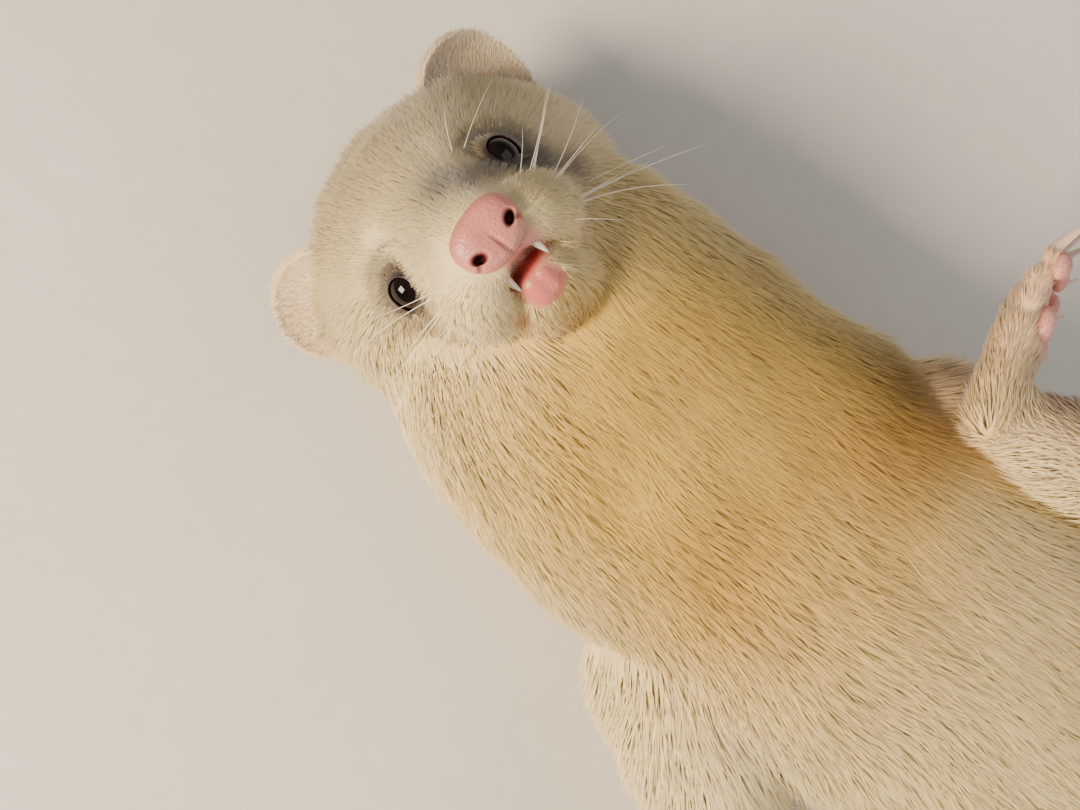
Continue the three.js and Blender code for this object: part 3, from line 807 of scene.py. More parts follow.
@dataclass
class Body:
    """The skin under the whole coat, and the lie, length and colour of the hair at any point of it."""

    voxel: float = 0.8  # edge of the grid on which the parts are fused
    face_voxel: float = 0.5
    kept: float = 0.42  # share of the triangles left away from the face
    parts: list[Part] = field(init=False)
    paws: list[Paw] = field(init=False)
    item: Item = field(init=False)

    def __post_init__(self) -> None:
        """Lays out the parts."""
        head_depth = (2.4, 2.4, 2.4, 2.2, 1.8, 1.3, 0.9, 0.6)
        head_hair = (6.5, 6.4, 6.0, 5.4, 4.4, 3.3, 2.3, 1.6)
        trunk_depth = (2.6, 3, 3, 3, 3, 3, 2.8)
        trunk_hair = (7, 8.2, 9, 9.5, 9.5, 9.5, 9)
        head_width = (0.46, 0.44, 0.4, 0.3)
        skull = head_loft(HEAD_STATIONS, 96)
        head = Part("head", skull, head_depth, head_hair, head_width, Lie.FROM_NOSE, 96)
        trunk = Part("trunk", trunk_loft(140), trunk_depth, trunk_hair, (0.46, 0.5, 0.6, 0.7, 0.75), sides=96)
        tail_loft = limb_loft(tail_stations(), (0, 1, 0), 60)
        tail = Part("tail", tail_loft, (3.4, 3.4, 3.2, 2.8, 2.2, 0.6), (10, 11, 12, 11), (0.7, 0.7))
        self.parts = [head, trunk, tail]
        for plan in LEGS:
            upper = limb_loft(plan.upper, plan.upper_side, 30)
            lower = limb_loft(plan.lower, plan.lower_side, 36)
            self.parts.append(Part(f"upper_{plan.name}", upper, (2.8, 2.6, 2.4), (8, 7.5, 6.5), (0.6, 0.55)))
            self.parts.append(Part(f"lower_{plan.name}", lower, (2.2, 1.7, 1.0), (6, 5, 3.6), (0.52, 0.46)))
        self.paws = [Paw(plan) for plan in LEGS]
        for paw in self.paws:
            name = f"paw_{paw.plan.name}"
            self.parts.append(Part(name, paw.palm_loft(), (PALM_INSET,), (3.4, 2.8, 2.2), (0.42, 0.38)))
        for paw in self.paws:
            for toe in range(TOES):
                name = f"toe_{toe}_{paw.plan.name}"
                self.parts.append(Part(name, paw.toe_loft(toe), (TOE_INSET,), (2.2, 1.8), (0.36,)))

    def carved_head(self) -> Item:
        """The head with its lip pads, cut for mouth, lower jaw and eyes.

        Returns:
            The head.
        """
        head = self.parts[0].shell()
        pads = []
        for sign in (1, -1):
            turn = spun(1, sign * 0.25)
            axes = (turn @ np.diag([6.1, 6.0, 7.6])).T @ HEAD.axes
            pads.append(ball(HEAD.world(np.array([sign * 5.2, -10.6, 12.4])), axes))
        solid = remeshed(mesh_object("head_rough", *joined([head, *pads])), self.face_voxel, 3)
        room = head_loft(JAW_STATIONS, 40)
        front = [(z, *row[1:]) for z, row in zip((10, 15, 26), JAW_STATIONS[2:5])]
        cutters = [capped(room.rings(48, -0.35)), capped(head_loft(front, 12).rings(48, -0.35))]
        palate = spun(0, 0.12) @ np.diag([4.2, 2.3, 7.0])
        cutters.append(ball(HEAD.world(np.array([-0.3, -14.5, 16.3])), palate.T @ HEAD.axes))
        cutters.append(ball(HEAD.world(np.array([0, -7.6, 21.5])), np.diag([4.6, 3.5, 5.0]) @ HEAD.axes))
        for sign in (1, -1):
            axes = np.diag([5.0, 4.3, 3.0]) @ eye_axes(sign) @ HEAD.axes
            middle = eye_centre(sign) + gaze_of(sign) * (EYE_RADIUS + 0.5)
            cutters.append(ball(HEAD.world(middle), axes))
        return cut(solid, cutters)

    def build(self) -> Item:
        """Fuses the parts into one closed skin, smooths it and thins it away from the face.

        Returns:
            The skin.
        """
        jaw = head_loft(JAW_STATIONS, 40)
        shells = [part.shell() for part in self.parts[1:] if not part.name.startswith(("paw", "toe"))]
        shells.append(capped(jaw.rings(48, 0.45)))
        for paw in self.paws:
            shells.extend(paw.shells())
        head = read_mesh(self.carved_head().data)
        shells.append((head[0], [head[1]]))
        bpy.data.objects.remove(bpy.data.objects["head_rough"])
        skin = remeshed(mesh_object("skin", *joined(shells)), self.voxel, 5)
        points, triangles, normals = read_mesh(skin.data)
        points = filled(self.wrists_eased(points, triangles), triangles, normals)
        skin.data.vertices.foreach_set("co", (points * MM).astype(np.float32).ravel())
        group = skin.vertex_groups.new(name="thinned")
        face = HEAD.local(points)
        plain = (face[:, 2] < -8) | (np.abs(face[:, 0]) > 24)
        group.add(np.flatnonzero(plain).tolist(), 1.0, "REPLACE")
        thin = skin.modifiers.new("thin", "DECIMATE")
        thin.ratio, thin.vertex_group = self.kept, "thinned"
        applied(skin)
        points = read_mesh(skin.data)[0]
        points = lip_relief(points) + read_mesh(skin.data)[2] * self.undulation(points)[:, None]
        points[:, 2] = np.maximum(points[:, 2], 1.0)
        skin.data.vertices.foreach_set("co", (points * MM).astype(np.float32).ravel())
        skin.data.update()
        skin.data.polygons.foreach_set("use_smooth", np.ones(len(skin.data.polygons), bool))
        self.item = skin
        return skin

    def wrists_eased(self, points: Array, triangles: Array) -> Array:
        """The skin with the ends of the limbs run smoothly into the paws.

        Args:
            points: of the skin, (n, 3).
            triangles: (k, 3).

        Returns:
            The moved points.
        """
        share = np.zeros(len(points))
        for paw in self.paws:
            x, y, z = paw.place.local(points).T
            share = np.maximum(share, smoothstep(12, 5, np.abs(x + 1)) * smoothstep(17, 12, np.hypot(y, z)))
        for _ in range(45):
            points = points + 0.6 * share[:, None] * (neighbour_mean(points, triangles) - points)
        return points

    def undulation(self, points: Array) -> Array:
        """How far the fur mass swells and sinks: slow waves, weaker on the face and none on the paws.

        Args:
            points: of the skin, (n, 3).

        Returns:
            The distances along the normals, in millimetres.
        """
        face = HEAD.local(points)
        behind = np.maximum(smoothstep(-2, -14, face[:, 2]), smoothstep(24, 30, np.abs(face[:, 0])))
        share = (0.3 + 0.7 * behind) * (1 - lip_share(face)) * clear_of_paws(points)
        stretched = points * [0.6, 1, 1]
        return share * (0.3 * waves(stretched, 13, 31)[:, 0] + 0.22 * waves(stretched, 6, 32)[:, 0])

    def blended(self, points: Array) -> dict[str, Array]:
        """What the coat is like at points of the skin.

        Near the joint of two parts their lies and lengths run into each other, each weighted by
        exp(−9·distance/radius).

        Args:
            points: (n, 3).

        Returns:
            lie, length and width of the hair, and for the part that is nearest its number, with the
            share of the way along it and round it.
        """
        total = np.zeros(len(points))
        lie = np.zeros_like(points)
        length, width, along, round_it = (np.zeros(len(points)) for _ in range(4))
        best, nearest = np.full(len(points), np.inf), np.zeros(len(points), int)
        tip = HEAD.world(BEFORE_NOSE)
        for number, part in enumerate(self.parts):
            section, angle, share = part.locate(points)
            weight = np.exp(-9 * np.minimum(share, 8))
            if part.lie is Lie.FROM_NOSE:
                way = unit(points - tip)
                for sign in (1, -1):
                    middle = HEAD.world(eye_centre(sign))
                    apart = np.linalg.norm(points - middle, axis=1)
                    way = way + 0.8 * np.exp(-((apart / 7.5) ** 4))[:, None] * unit(points - middle)
            else:
                way = part.loft.tangents()[section] - [0, 0, 0.3 * ("er_" in part.name)]
            total += weight
            lie += way * weight[:, None]
            length += part.spread(part.hair)[section] * weight
            width += part.spread(part.width)[section] * weight
            closer = share < best
            best[closer], nearest[closer] = share[closer], number
            along[closer] = section[closer] / (len(part.loft.half) - 1)
            round_it[closer] = angle[closer] / (2 * math.pi) + 0.5
        return {
            "lie": unit(lie),
            "length": length / total,
            "width": width / total,
            "part": nearest,
            "along": along,
            "round": round_it,
        }


def neighbour_mean(values: Array, triangles: Array) -> Array:
    """For each vertex the mean of its neighbours' rows.

    Args:
        values: (n, columns).
        triangles: (k, 3).

    Returns:
        The means, (n, columns).
    """
    count = len(values)
    ends = np.concatenate([triangles[:, [0, 1]], triangles[:, [1, 2]], triangles[:, [2, 0]]])
    degree = np.maximum(np.bincount(ends[:, 0], minlength=count), 1)[:, None]
    sums = [np.bincount(ends[:, 0], column[ends[:, 1]], minlength=count) for column in values.T]
    return np.stack(sums, -1) / degree


def clear_of_paws(points: Array) -> Array:
    """How clear points are of the paws.

    Args:
        points: places in millimetres, (n, 3).

    Returns:
        0 on a paw, and 1 from 14 mm away.
    """
    share = np.ones(len(points))
    for plan in LEGS:
        gap = np.linalg.norm(points - np.array(plan.wrist), axis=1) - plan.palm_length
        share = share * smoothstep(0, 14, gap)
    return share


def filled(points: Array, triangles: Array, normals: Array) -> Array:
    """The skin with its creases bridged, as underfur does it behind the face and above the paws.

    The skin is smoothed strongly, and where that moves it outwards the move is kept.

    Args:
        points: (n, 3).
        triangles: the triangles.
        normals: (n, 3).

    Returns:
        The points.
    """
    soft = points
    for _ in range(FILL_PASSES):
        soft = 0.4 * soft + 0.6 * neighbour_mean(soft, triangles)
    outwards = np.clip(np.sum((soft - points) * normals, axis=1), 0, 4)
    face = HEAD.local(points)
    behind = np.maximum(smoothstep(2, -8, face[:, 2]), smoothstep(22, 30, np.abs(face[:, 0])))
    return points + (outwards * behind * clear_of_paws(points))[:, None] * normals


def lip_relief(points: Array) -> Array:
    """The skin with a groove down the middle of the lower lip and small lumps on its wet part.

    Args:
        points: of the skin, (n, 3).

    Returns:
        The moved points.
    """
    face = HEAD.local(points)
    wet = lip_share(face) * smoothstep(-14.5, -16.0, face[:, 1])
    lumps = 0.25 * waves(face, 4.4, 41)[:, 0] + 0.12 * waves(face, 1.9, 42)[:, 0]
    groove = -0.4 * np.exp(-(((face[:, 0] + 0.6) / 0.7) ** 2))
    return points + (wet * (lumps + groove))[:, None] * HEAD.axes[2]


def remeshed(item: Item, voxel: float, passes: int) -> Item:
    """The object fused on a grid, and smoothed.

    Args:
        item: the object.
        voxel: edge of the grid, in millimetres.
        passes: how often it is smoothed.

    Returns:
        The same object.
    """
    fuse = item.modifiers.new("fuse", "REMESH")
    fuse.mode, fuse.voxel_size, fuse.use_smooth_shade = "VOXEL", voxel * MM, True
    smooth = item.modifiers.new("smooth", "SMOOTH")
    smooth.iterations, smooth.factor = passes, 0.5
    return applied(item)


def cut(item: Item, cutters: Sequence[Shell]) -> Item:
    """The object without the cutters.

    Args:
        item: the object.
        cutters: closed surfaces.

    Returns:
        The same object.
    """
    tools = [mesh_object(f"cutter_{k}", points, faces) for k, (points, faces) in enumerate(cutters)]
    for tool in tools:
        away = item.modifiers.new(tool.name, "BOOLEAN")
        away.operation, away.solver, away.object = "DIFFERENCE", "MANIFOLD", tool
    applied(item)
    for tool in tools:
        bpy.data.objects.remove(tool)
    return item


# Markings, painted shade and bare places, shared by skin and coat


def from_eye(face: Array, sign: int) -> Array:
    """Distance of points of the head from the line along which an eye looks.

    Args:
        face: points in the head's frame, (n, 3).
        sign: 1 for the left eye and −1 for the right.

    Returns:
        The distances, 99 for what lies behind the eye.
    """
    offset = face - eye_centre(sign)
    gaze = gaze_of(sign)
    along = offset @ gaze
    away = np.linalg.norm(offset - along[:, None] * gaze, axis=1)
    return np.where(along > -1, away, 99.0)


def lip_share(face: Array) -> Array:
    """How far points of the head belong to the bare wet lips and the mouth, 0 to 1.

    Args:
        face: points in the head's frame, (n, 3).

    Returns:
        The shares, (n,).
    """
    ragged = face + 0.5 * waves(face, 2.6, 43, 3)
    lower = bump(ragged - [-0.8, -17.9, 16.3], (5.5, 4.3, 5.4))
    edge = 0.8 * bump(face - [-5.6, -17.4, 12.5], (3.0, 1.7, 4.5))
    slit = bump(face - [0, -14.6, 16.0], (6.2, 2.1, 7.6))
    under_nose = bump(face - [0, -12.4, 19.5], (2.6, 2.2, 3.2))
    wettest = np.max([lower, edge, slit, under_nose], axis=0)
    return np.clip(2.3 * wettest - 0.8, 0, 1)


def bare_share(points: Array, palms: Array) -> Array:
    """How bare the skin is, 0 to 1: lips, lids, the seat of the nose, the hollows of the palms.

    Args:
        points: (n, 3).
        palms: how far each point belongs to the underside of a paw, 0 to 1.

    Returns:
        The share at each point.
    """
    face = HEAD.local(points)
    bare = np.maximum(lip_share(face), palms)
    for sign in (1, -1):
        bare = np.maximum(bare, 1 - smoothstep(3.0, 3.6, from_eye(face, sign)))
    leather = ((face[:, 0] / 5.3) ** 2 + ((face[:, 1] + 7.7) / 4.3) ** 2) < 1
    sparse = 0.7 * near_lips(face)
    return np.where(leather & (face[:, 2] > 15), 1.0, np.maximum(bare, sparse))


def near_lips(face: Array) -> Array:
    """How far points of the head belong to the thinly haired pink skin between nose and lips, 0 to 1."""
    between = bump(face - [1.2, -12.6, 18.8], (4.4, 2.7, 4.2))
    side = 0.75 * bump(face - [-6.8, -17.2, 12.0], (3.6, 2.8, 5.0))
    return np.clip(1.8 * np.maximum(between, side) - 0.35, 0, 1)


def palm_share(points: Array, kind: Array, paws: Sequence[Paw]) -> Array:
    """How far points belong to the underside of a paw, 0 to 1.

    Args:
        points: (n, 3).
        kind: the share of head, tail, legs and paws at each point, (n, 4).
        paws: the paws.

    Returns:
        The share at each point.
    """
    share = np.zeros(len(points))
    for paw in paws:
        x, y, z = paw.place.local(points).T
        near = (x > -4) & (x < paw.plan.palm_length + TOE_LENGTH + 4) & (np.abs(y) < 14) & (np.abs(z) < 16)
        droop = paw.plan.curl * np.clip(x - paw.plan.palm_length, 0, TOE_LENGTH) * 0.5
        under = 1 - smoothstep(-2.6, -0.6, z + droop)
        bare = under * smoothstep(-10, -7, x - paw.plan.palm_length)
        share = np.maximum(share, np.where(near, bare, 0))
    return share * kind[:, 3]


@dataclass(frozen=True)
class Mark:
    """A mark of the face, such as a marking and painted shade: soft blobs of one tone at places in the head's
    frame.
    """

    tone: Tone
    strength: float
    radii: Triple
    places: tuple[Triple, ...]
    fullness: float = 1.0  # above 1, the middle of the blobs is even and their edges are steeper

    def share(self, face: Array) -> Array:
        """How far points of the head belong to it, 0 to strength."""
        blobs = np.max([bump(face - place, self.radii) for place in self.places], axis=0)
        return self.strength * np.clip(self.fullness * blobs, 0, 1)


# Middles of the dark band from the bridge of the nose to below the left eye: a little grey fur under the
# painted shadow that the nose casts towards that eye.
GREY_FUR_AND_SHADOW_BAND = (
    (3.2, 1.6, 11.4), (5.4, -0.6, 11.6), (8.0, -2.4, 9.6),
    (11.0, -4.2, 6.4), (14.2, -5.6, 2.4), (15.4, -8.6, 0.8),
)
# Bluish grey of the bridge, the dark band, and a fainter one on the right: grey fur deepened with painted
# shade.
GREY_FUR_AND_SHADE_MARKS = (
    Mark(Tone.SHADE, 0.3, (9, 5, 8), ((0, 2, 10),)),
    Mark(Tone.SHADE, 0.86, (3.3, 2.5, 4.4), GREY_FUR_AND_SHADOW_BAND, 1.25),
    Mark(Tone.SHADE, 0.25, (4, 3, 4.6), ((-6, -1, 11),)),
)
BROWS = {sign: Mark(Tone.WHITE, 0.95, (2.1, 3.3, 6), ((sign * 7.4, 5.2, 4),), 1.4) for sign in (1, -1)}
LIP_PADS = (
    Mark(Tone.CREAM, 0.7, (4, 3.6, 4.5), ((8.2, -11.5, 18.5),)),
    Mark(Tone.WHITE, 0.7, (4, 3.6, 4.5), ((-8.6, -10.6, 17.5),)),
)
# Tawny patches of the chest and behind the left foreleg: the middle, radius and strength of each. The second,
# on the right of the chest, is partly stain and partly painted light: the warm edge of a pool of lamplight.
TAWNY_STAIN_AND_WARM_LIGHT_PATCHES = (((-49, 17, 56), 11, 0.8), ((-56, -14, 56), 13, 0.6), ((10, 20, 58), 16, 0.3))


def markings(points: Array, kind: Array, paws: Sequence[Paw]) -> Array:
    """The colour of the coat at points of the skin, with painted shade on the face and some painted warm
    light on the chest.

    Soft blobs and steps of position are laid over each other, with slow waves to break them up.

    Args:
        points: (n, 3).
        kind: the share of head, tail, legs and paws at each point, (n, 4).
        paws: the paws, whose hair is thin over pink skin.

    Returns:
        Linear colours, (n, 3).
    """
    x, y, z = points.T
    face = HEAD.local(points)
    drift = waves(points, 34, 3, 3)
    fine = waves(points, 9, 4, 2)
    colour = np.tile(tone(Tone.CREAM), (len(points), 1))
    flank = smoothstep(46, 26, z + 5 * drift[:, 0])
    colour = mixed(colour, tone(Tone.WHITE), 0.75 * flank)
    colour = mixed(colour, tone(Tone.BACK), smoothstep(16, 5, z) * 0.8)
    colour = mixed(colour, tone(Tone.WHITE), kind[:, 2] * 0.55)
    colour = mixed(colour, tone(Tone.TAWNY), kind[:, 1] * np.clip(0.3 + 0.1 * fine[:, 0], 0, 1))
    throat = bump(np.stack([x + 74, y - 3, z - 56], -1) + 4 * drift, (31, 31, 22))
    colour = mixed(colour, tone(Tone.GOLD), np.clip(1.5 * throat, 0, 0.94))
    # Tawny stains; the patch on the right of the chest is partly painted warm light.
    for spot, radius, strength in TAWNY_STAIN_AND_WARM_LIGHT_PATCHES:
        patch = bump(points - np.array(spot) + 2 * drift, (radius,) * 3)
        colour = mixed(colour, tone(Tone.TAWNY), strength * patch)
    head = kind[:, 0]
    # The top of the head is greyer, and darker still as painted shade where the light falls off.
    crown = head * smoothstep(-6, 12, face[:, 1] + 2 * drift[:, 1])
    colour = mixed(colour, tone(Tone.WHITE), head * 0.85 * (1 - throat))
    colour = mixed(colour, tone(Tone.CROWN), 0.85 * crown)
    blush = bump(face - [-12, -9, 2], (9, 8, 9)) + bump(face - [12, -9, 2], (9, 8, 9))
    colour = mixed(colour, tone(Tone.BLUSH), head * 0.16 * np.clip(blush, 0, 1))
    # Grey of the bridge and the nose's painted shadow beside it.
    for mark in GREY_FUR_AND_SHADE_MARKS:
        colour = mixed(colour, tone(mark.tone), head * mark.share(face))
    for sign, brow in BROWS.items():
        colour = mixed(colour, tone(brow.tone), head * brow.share(face))
        # A grey ring and a dark narrow ring round each eye: greyer fur and the lid rims there, deepened as
        # painted shade of the socket.
        away = from_eye(face, sign)
        colour = mixed(colour, tone(Tone.SHADE), head * 0.62 * smoothstep(7.2, 4.8, away))
        colour = mixed(colour, tone(Tone.RIM), head * 0.6 * smoothstep(5.0, 3.4, away))
    for pad in LIP_PADS:
        colour = mixed(colour, tone(pad.tone), head * pad.share(face))
    colour = mixed(colour, tone(Tone.BLUSH), head * 0.8 * near_lips(face))
    for paw in paws:
        reach, across, over = paw.place.local(points).T
        near = smoothstep(24, 16, np.hypot(across, over)) * smoothstep(70, 50, np.abs(reach))
        colour = mixed(colour, tone(Tone.BLUSH), 0.55 * smoothstep(-16, 20, reach) * near * kind[:, 2])
    speck = waves(points, 4.5, 5)
    return colour * (1 + 0.04 * fine[:, 1:2] + 0.03 * drift[:, 2:3] + 0.035 * speck)


# Finishes


Socket = bpy.types.NodeSocket


def add_node(tree: Tree, kind: str, inputs: dict | None = None, **settings: object) -> bpy.types.Node:
    """Adds a node.

    Args:
        tree: where it goes.
        kind: the node's type.
        inputs: for sockets by name or number, a value or the output that feeds it.
        settings: the node's own properties.

    Returns:
        The node.
    """
    node = tree.nodes.new(kind)
    for key, value in settings.items():
        setattr(node, key, value)
    for key, value in (inputs or {}).items():
        if isinstance(value, Socket):
            tree.links.new(value, node.inputs[key])
        else:
            node.inputs[key].default_value = value
    return node


@dataclass(frozen=True)
class Finish:
    """A surface finish: how its colour varies, how it shines and how rough it is to the touch."""

    name: str
    colour: str = "#ffffff"
    dark: str = "#cccccc"
    attribute: str = ""  # colour kept on the mesh that takes the place of the two above
    root: float = 1.0  # brightness at the root of a hair; below 1 it is painted shade in the coat
    strands: float = 0.0  # contrast of the single hairs in a tuft
    roughness: float = 0.6
    ior: float = 1.5
    sheen: float = 0.0
    coat: float = 0.0
    subsurface: float = 0.0
    reach: float = 1.0  # how far light spreads in it, in millimetres
    grain: float = 0.5  # size of its grain, in millimetres
    relief: float = 0.1  # depth of the grain, in millimetres
    mottle: float = 0.15
    cells: bool = False  # grain of small bosses instead of a cloud
    wet: str = ""  # attribute that says where it is wet and smooth

    def material(self) -> Material:
        """The finish as a material, its pattern on Object coordinates.

        Returns:
            The material.
        """
        material = bpy.data.materials.new(self.name)
        material.use_nodes = True
        tree = material.node_tree
        tree.nodes.clear()
        place = add_node(tree, "ShaderNodeTexCoord").outputs["Object"]
        if self.cells:
            grain = add_node(tree, "ShaderNodeTexVoronoi", {"Vector": place, "Scale": 1 / (self.grain * MM)})
            height = grain.outputs["Distance"]
        else:
            settings = {"Vector": place, "Scale": 1 / (self.grain * MM), "Detail": 3.0}
            height = add_node(tree, "ShaderNodeTexNoise", settings).outputs["Fac"]
        colour = self.base_colour(tree, place, height)
        fixed = {
            "Base Color": colour,
            "Roughness": self.wet_roughness(tree),
            "IOR": self.ior,
            "Sheen Weight": self.sheen,
            "Sheen Roughness": 0.45,
            "Coat Weight": self.coat,
            "Coat Roughness": 0.06,
            "Subsurface Weight": self.subsurface,
            "Subsurface Scale": self.reach * MM,
        }
        if self.relief:
            ridges = {"Height": height, "Distance": self.relief * MM, "Strength": 0.8}
            fixed["Normal"] = add_node(tree, "ShaderNodeBump", ridges).outputs["Normal"]
        shader = add_node(tree, "ShaderNodeBsdfPrincipled", fixed)
        add_node(tree, "ShaderNodeOutputMaterial", {"Surface": shader.outputs["BSDF"]})
        return material

    def base_colour(self, tree: Tree, place: Socket, height: Socket) -> Socket:
        """The colour: kept on the mesh or mixed from light and dark, then darkened towards the root as
        painted shade.

        Args:
            tree: the material's nodes.
            place: Object coordinates.
            height: of the grain.

        Returns:
            The output that holds it.
        """
        cloud = add_node(tree, "ShaderNodeTexNoise", {"Vector": place, "Scale": 1 / (self.grain * 9 * MM)})
        if self.attribute:
            kept = add_node(tree, "ShaderNodeAttribute", attribute_name=self.attribute).outputs["Color"]
            low, high = 1 - self.mottle, 1 + self.mottle
            sway = add_node(tree, "ShaderNodeMapRange", {"Value": cloud.outputs["Fac"], 3: low, 4: high})
            gain = sway.outputs["Result"]
            # Darker towards the root: painted shade deep in the coat.
            if self.root < 1:
                tip = add_node(tree, "ShaderNodeAttribute", attribute_name="Tip").outputs["Fac"]
                rise = add_node(tree, "ShaderNodeMapRange", {"Value": tip, 3: self.root, 4: 1.04})
                both = {0: gain, 1: rise.outputs["Result"]}
                gain = add_node(tree, "ShaderNodeMath", both, operation="MULTIPLY").outputs[0]
            if self.strands:
                strand = add_node(tree, "ShaderNodeAttribute", attribute_name="Strand").outputs["Fac"]
                settings = {"W": strand, "Scale": 5.0, "Detail": 2.0}
                hairs = add_node(tree, "ShaderNodeTexNoise", settings, noise_dimensions="1D").outputs["Fac"]
                ends = {"Value": hairs, 1: 0.3, 2: 0.7, 3: 1 - self.strands, 4: 1 + self.strands}
                both = {0: gain, 1: add_node(tree, "ShaderNodeMapRange", ends).outputs["Result"]}
                gain = add_node(tree, "ShaderNodeMath", both, operation="MULTIPLY").outputs[0]
            grey = add_node(tree, "ShaderNodeCombineXYZ", {0: gain, 1: gain, 2: gain}).outputs[0]
            scaled = {0: kept, 1: grey}
            return add_node(tree, "ShaderNodeVectorMath", scaled, operation="MULTIPLY").outputs[0]
        share = add_node(tree, "ShaderNodeMath", {0: cloud.outputs["Fac"], 1: height}, operation="MULTIPLY")
        steps = {"Value": share.outputs[0], 1: 0.05, 2: 0.45}
        share = add_node(tree, "ShaderNodeMapRange", steps).outputs["Result"]
        ends = {0: share, 6: (*linear(self.dark), 1), 7: (*linear(self.colour), 1)}
        return add_node(tree, "ShaderNodeMix", ends, data_type="RGBA").outputs[2]

    def wet_roughness(self, tree: Tree) -> Socket | float:
        """The roughness, less where the surface is wet.

        Args:
            tree: the material's nodes.

        Returns:
            A number, or the output that holds it.
        """
        if not self.wet:
            return self.roughness
        wet = add_node(tree, "ShaderNodeAttribute", attribute_name=self.wet).outputs["Fac"]
        ends = {"Value": wet, 3: self.roughness, 4: WET_ROUGHNESS}
        return add_node(tree, "ShaderNodeMapRange", ends).outputs["Result"]


# Soft hair: matt, a little paler at the tips and darker at the roots as painted shade in the coat, with a
# bloom at grazing angles.
HAIR = Finish(
    "ferret guard hair", attribute="Tone", root=0.88, strands=0.14, roughness=0.6, sheen=0.16, relief=0,
    mottle=0.05,
)
# Skin under the hair takes the coat's colour, a little darker as painted shade; bare lips are wet.
SKIN = Finish(
    "ferret skin and underfur", attribute="Tone", roughness=0.7, subsurface=0.12, reach=1.2,
    grain=0.35, relief=0.12, mottle=0.12, wet="Wet",
)
# Bare leather with fine bosses and a moist shine.
NOSE = Finish(
    "moist nose leather", attribute="Tone", roughness=0.42, subsurface=0.2, reach=1.4, grain=0.42,
    relief=0.11, mottle=0.1, cells=True, coat=0.1,
)
# Thin skin that lets light through.
EAR = Finish(
    "thin ear skin", attribute="Tone", roughness=0.62, subsurface=0.35, reach=2.2, grain=0.5,
    relief=0.06, mottle=0.08, sheen=0.2,
)
# Bare pads with small bosses.
PAD = Finish(
    "paw pad skin", "#dfa698", "#c98578", roughness=0.55, subsurface=0.25, reach=1.6, grain=0.35,
    relief=0.08, cells=True,
)
# A wet dark ball with a sharp highlight.
EYE = Finish("wet eyeball", attribute="Tone", roughness=0.04, grain=0.3, relief=0, mottle=0.1, ior=1.34)
# Cream enamel, glossy and a little translucent.
TOOTH = Finish(
    "tooth enamel", "#f6efdd", "#e6d7b4", roughness=0.2, subsurface=0.3, reach=0.8, grain=0.6,
    relief=0.02, coat=0.3,
)
# Pale horn into which light spreads.
CLAW = Finish(
    "claw horn", "#ead9c6", "#c9a994", roughness=0.35, subsurface=0.3, reach=1.0, grain=0.5,
    relief=0.03, coat=0.2,
)
# Stiff pale bristle.
WHISKER = Finish("whisker bristle", "#f7f1e2", "#e3d9c2", roughness=0.35, grain=2.0, relief=0, sheen=0.1)
# A matt floor.
FLOOR = Finish("pale studio floor", "#dedad2", "#d8d4cb", roughness=0.8, grain=6, relief=0.15, mottle=0.02)


def dress(item: Item, finish: Material, slot: str, *nodes: str) -> Item:
    """Gives a piece its material, lets it ride on the body and stand for CAD nodes.

    Args:
        item: the piece.
        finish: its material.
        slot: not used.
        nodes: the CAD nodes that it stands for.

    Returns:
        The piece.
    """
    item.data.materials.clear()
    item.data.materials.append(finish)
    if nodes:
        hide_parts(*nodes)
    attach(item, "root")
    log.info("%s: %d faces", item.name, len(item.data.polygons))
    return item


# Coat


TUFT_FACES = np.array([[0, 2, 1], [0, 1, 3], [1, 2, 3], [2, 0, 3]])  # three corners at the foot and a tip


def cell_key(points: Array, size: Array) -> Array:
    """A number for the cell of a grid in which each point lies, the cells being size across."""
    cell = np.floor(points / size[:, None]).astype(np.int64)
    key = (cell[:, 0] * 73856093) ^ (cell[:, 1] * 19349663) ^ (cell[:, 2] * 83492791)
    return key * 64 + np.round(size * 8).astype(np.int64) % 64


def shortening(face: Array) -> Array:
    """A factor on the length of the hair: it is short round the eyes, the nose and the lips.

    Args:
        face: points in the head's frame, (n, 3).

    Returns:
        The factors, (n,).
    """
    factor = 0.45 + 0.55 * smoothstep(0.0, 0.9, 1 - lip_share(face))
    for sign in (1, -1):
        factor = factor * (0.5 + 0.5 * smoothstep(3.8, 8.5, from_eye(face, sign)))
    leather = np.hypot(face[:, 0] / 5.6, (face[:, 1] + 7.6) / 4.6)
    close = 0.4 + 0.6 * smoothstep(1.0, 2.3, leather)
    return np.where(face[:, 2] > 9, factor * close, factor) * (1 - 0.4 * near_lips(face))


@dataclass(frozen=True)
class Tuft:
    """How the tufts of one stretch of coat stand."""

    lift: float = 0.24  # how far the tip stands off the skin, as a share of the length
    gather: float = 0.22  # how far the tips of neighbours run together
    gather_size: float = 2.0  # the distance over which they do, in millimetres
    scatter: float = 0.13  # random turn of a tuft, in radians
    flow: float = 0.2  # slow turn of the lie, in radians
    flow_size: float = 26.0


@dataclass(frozen=True)
class Region:
    """One piece of the coat: which skin carries it, how far apart its tufts stand, and their shape."""

    name: str
    mask: Array
    spacing: float
    tuft: Tuft
    limit: int = 190_000


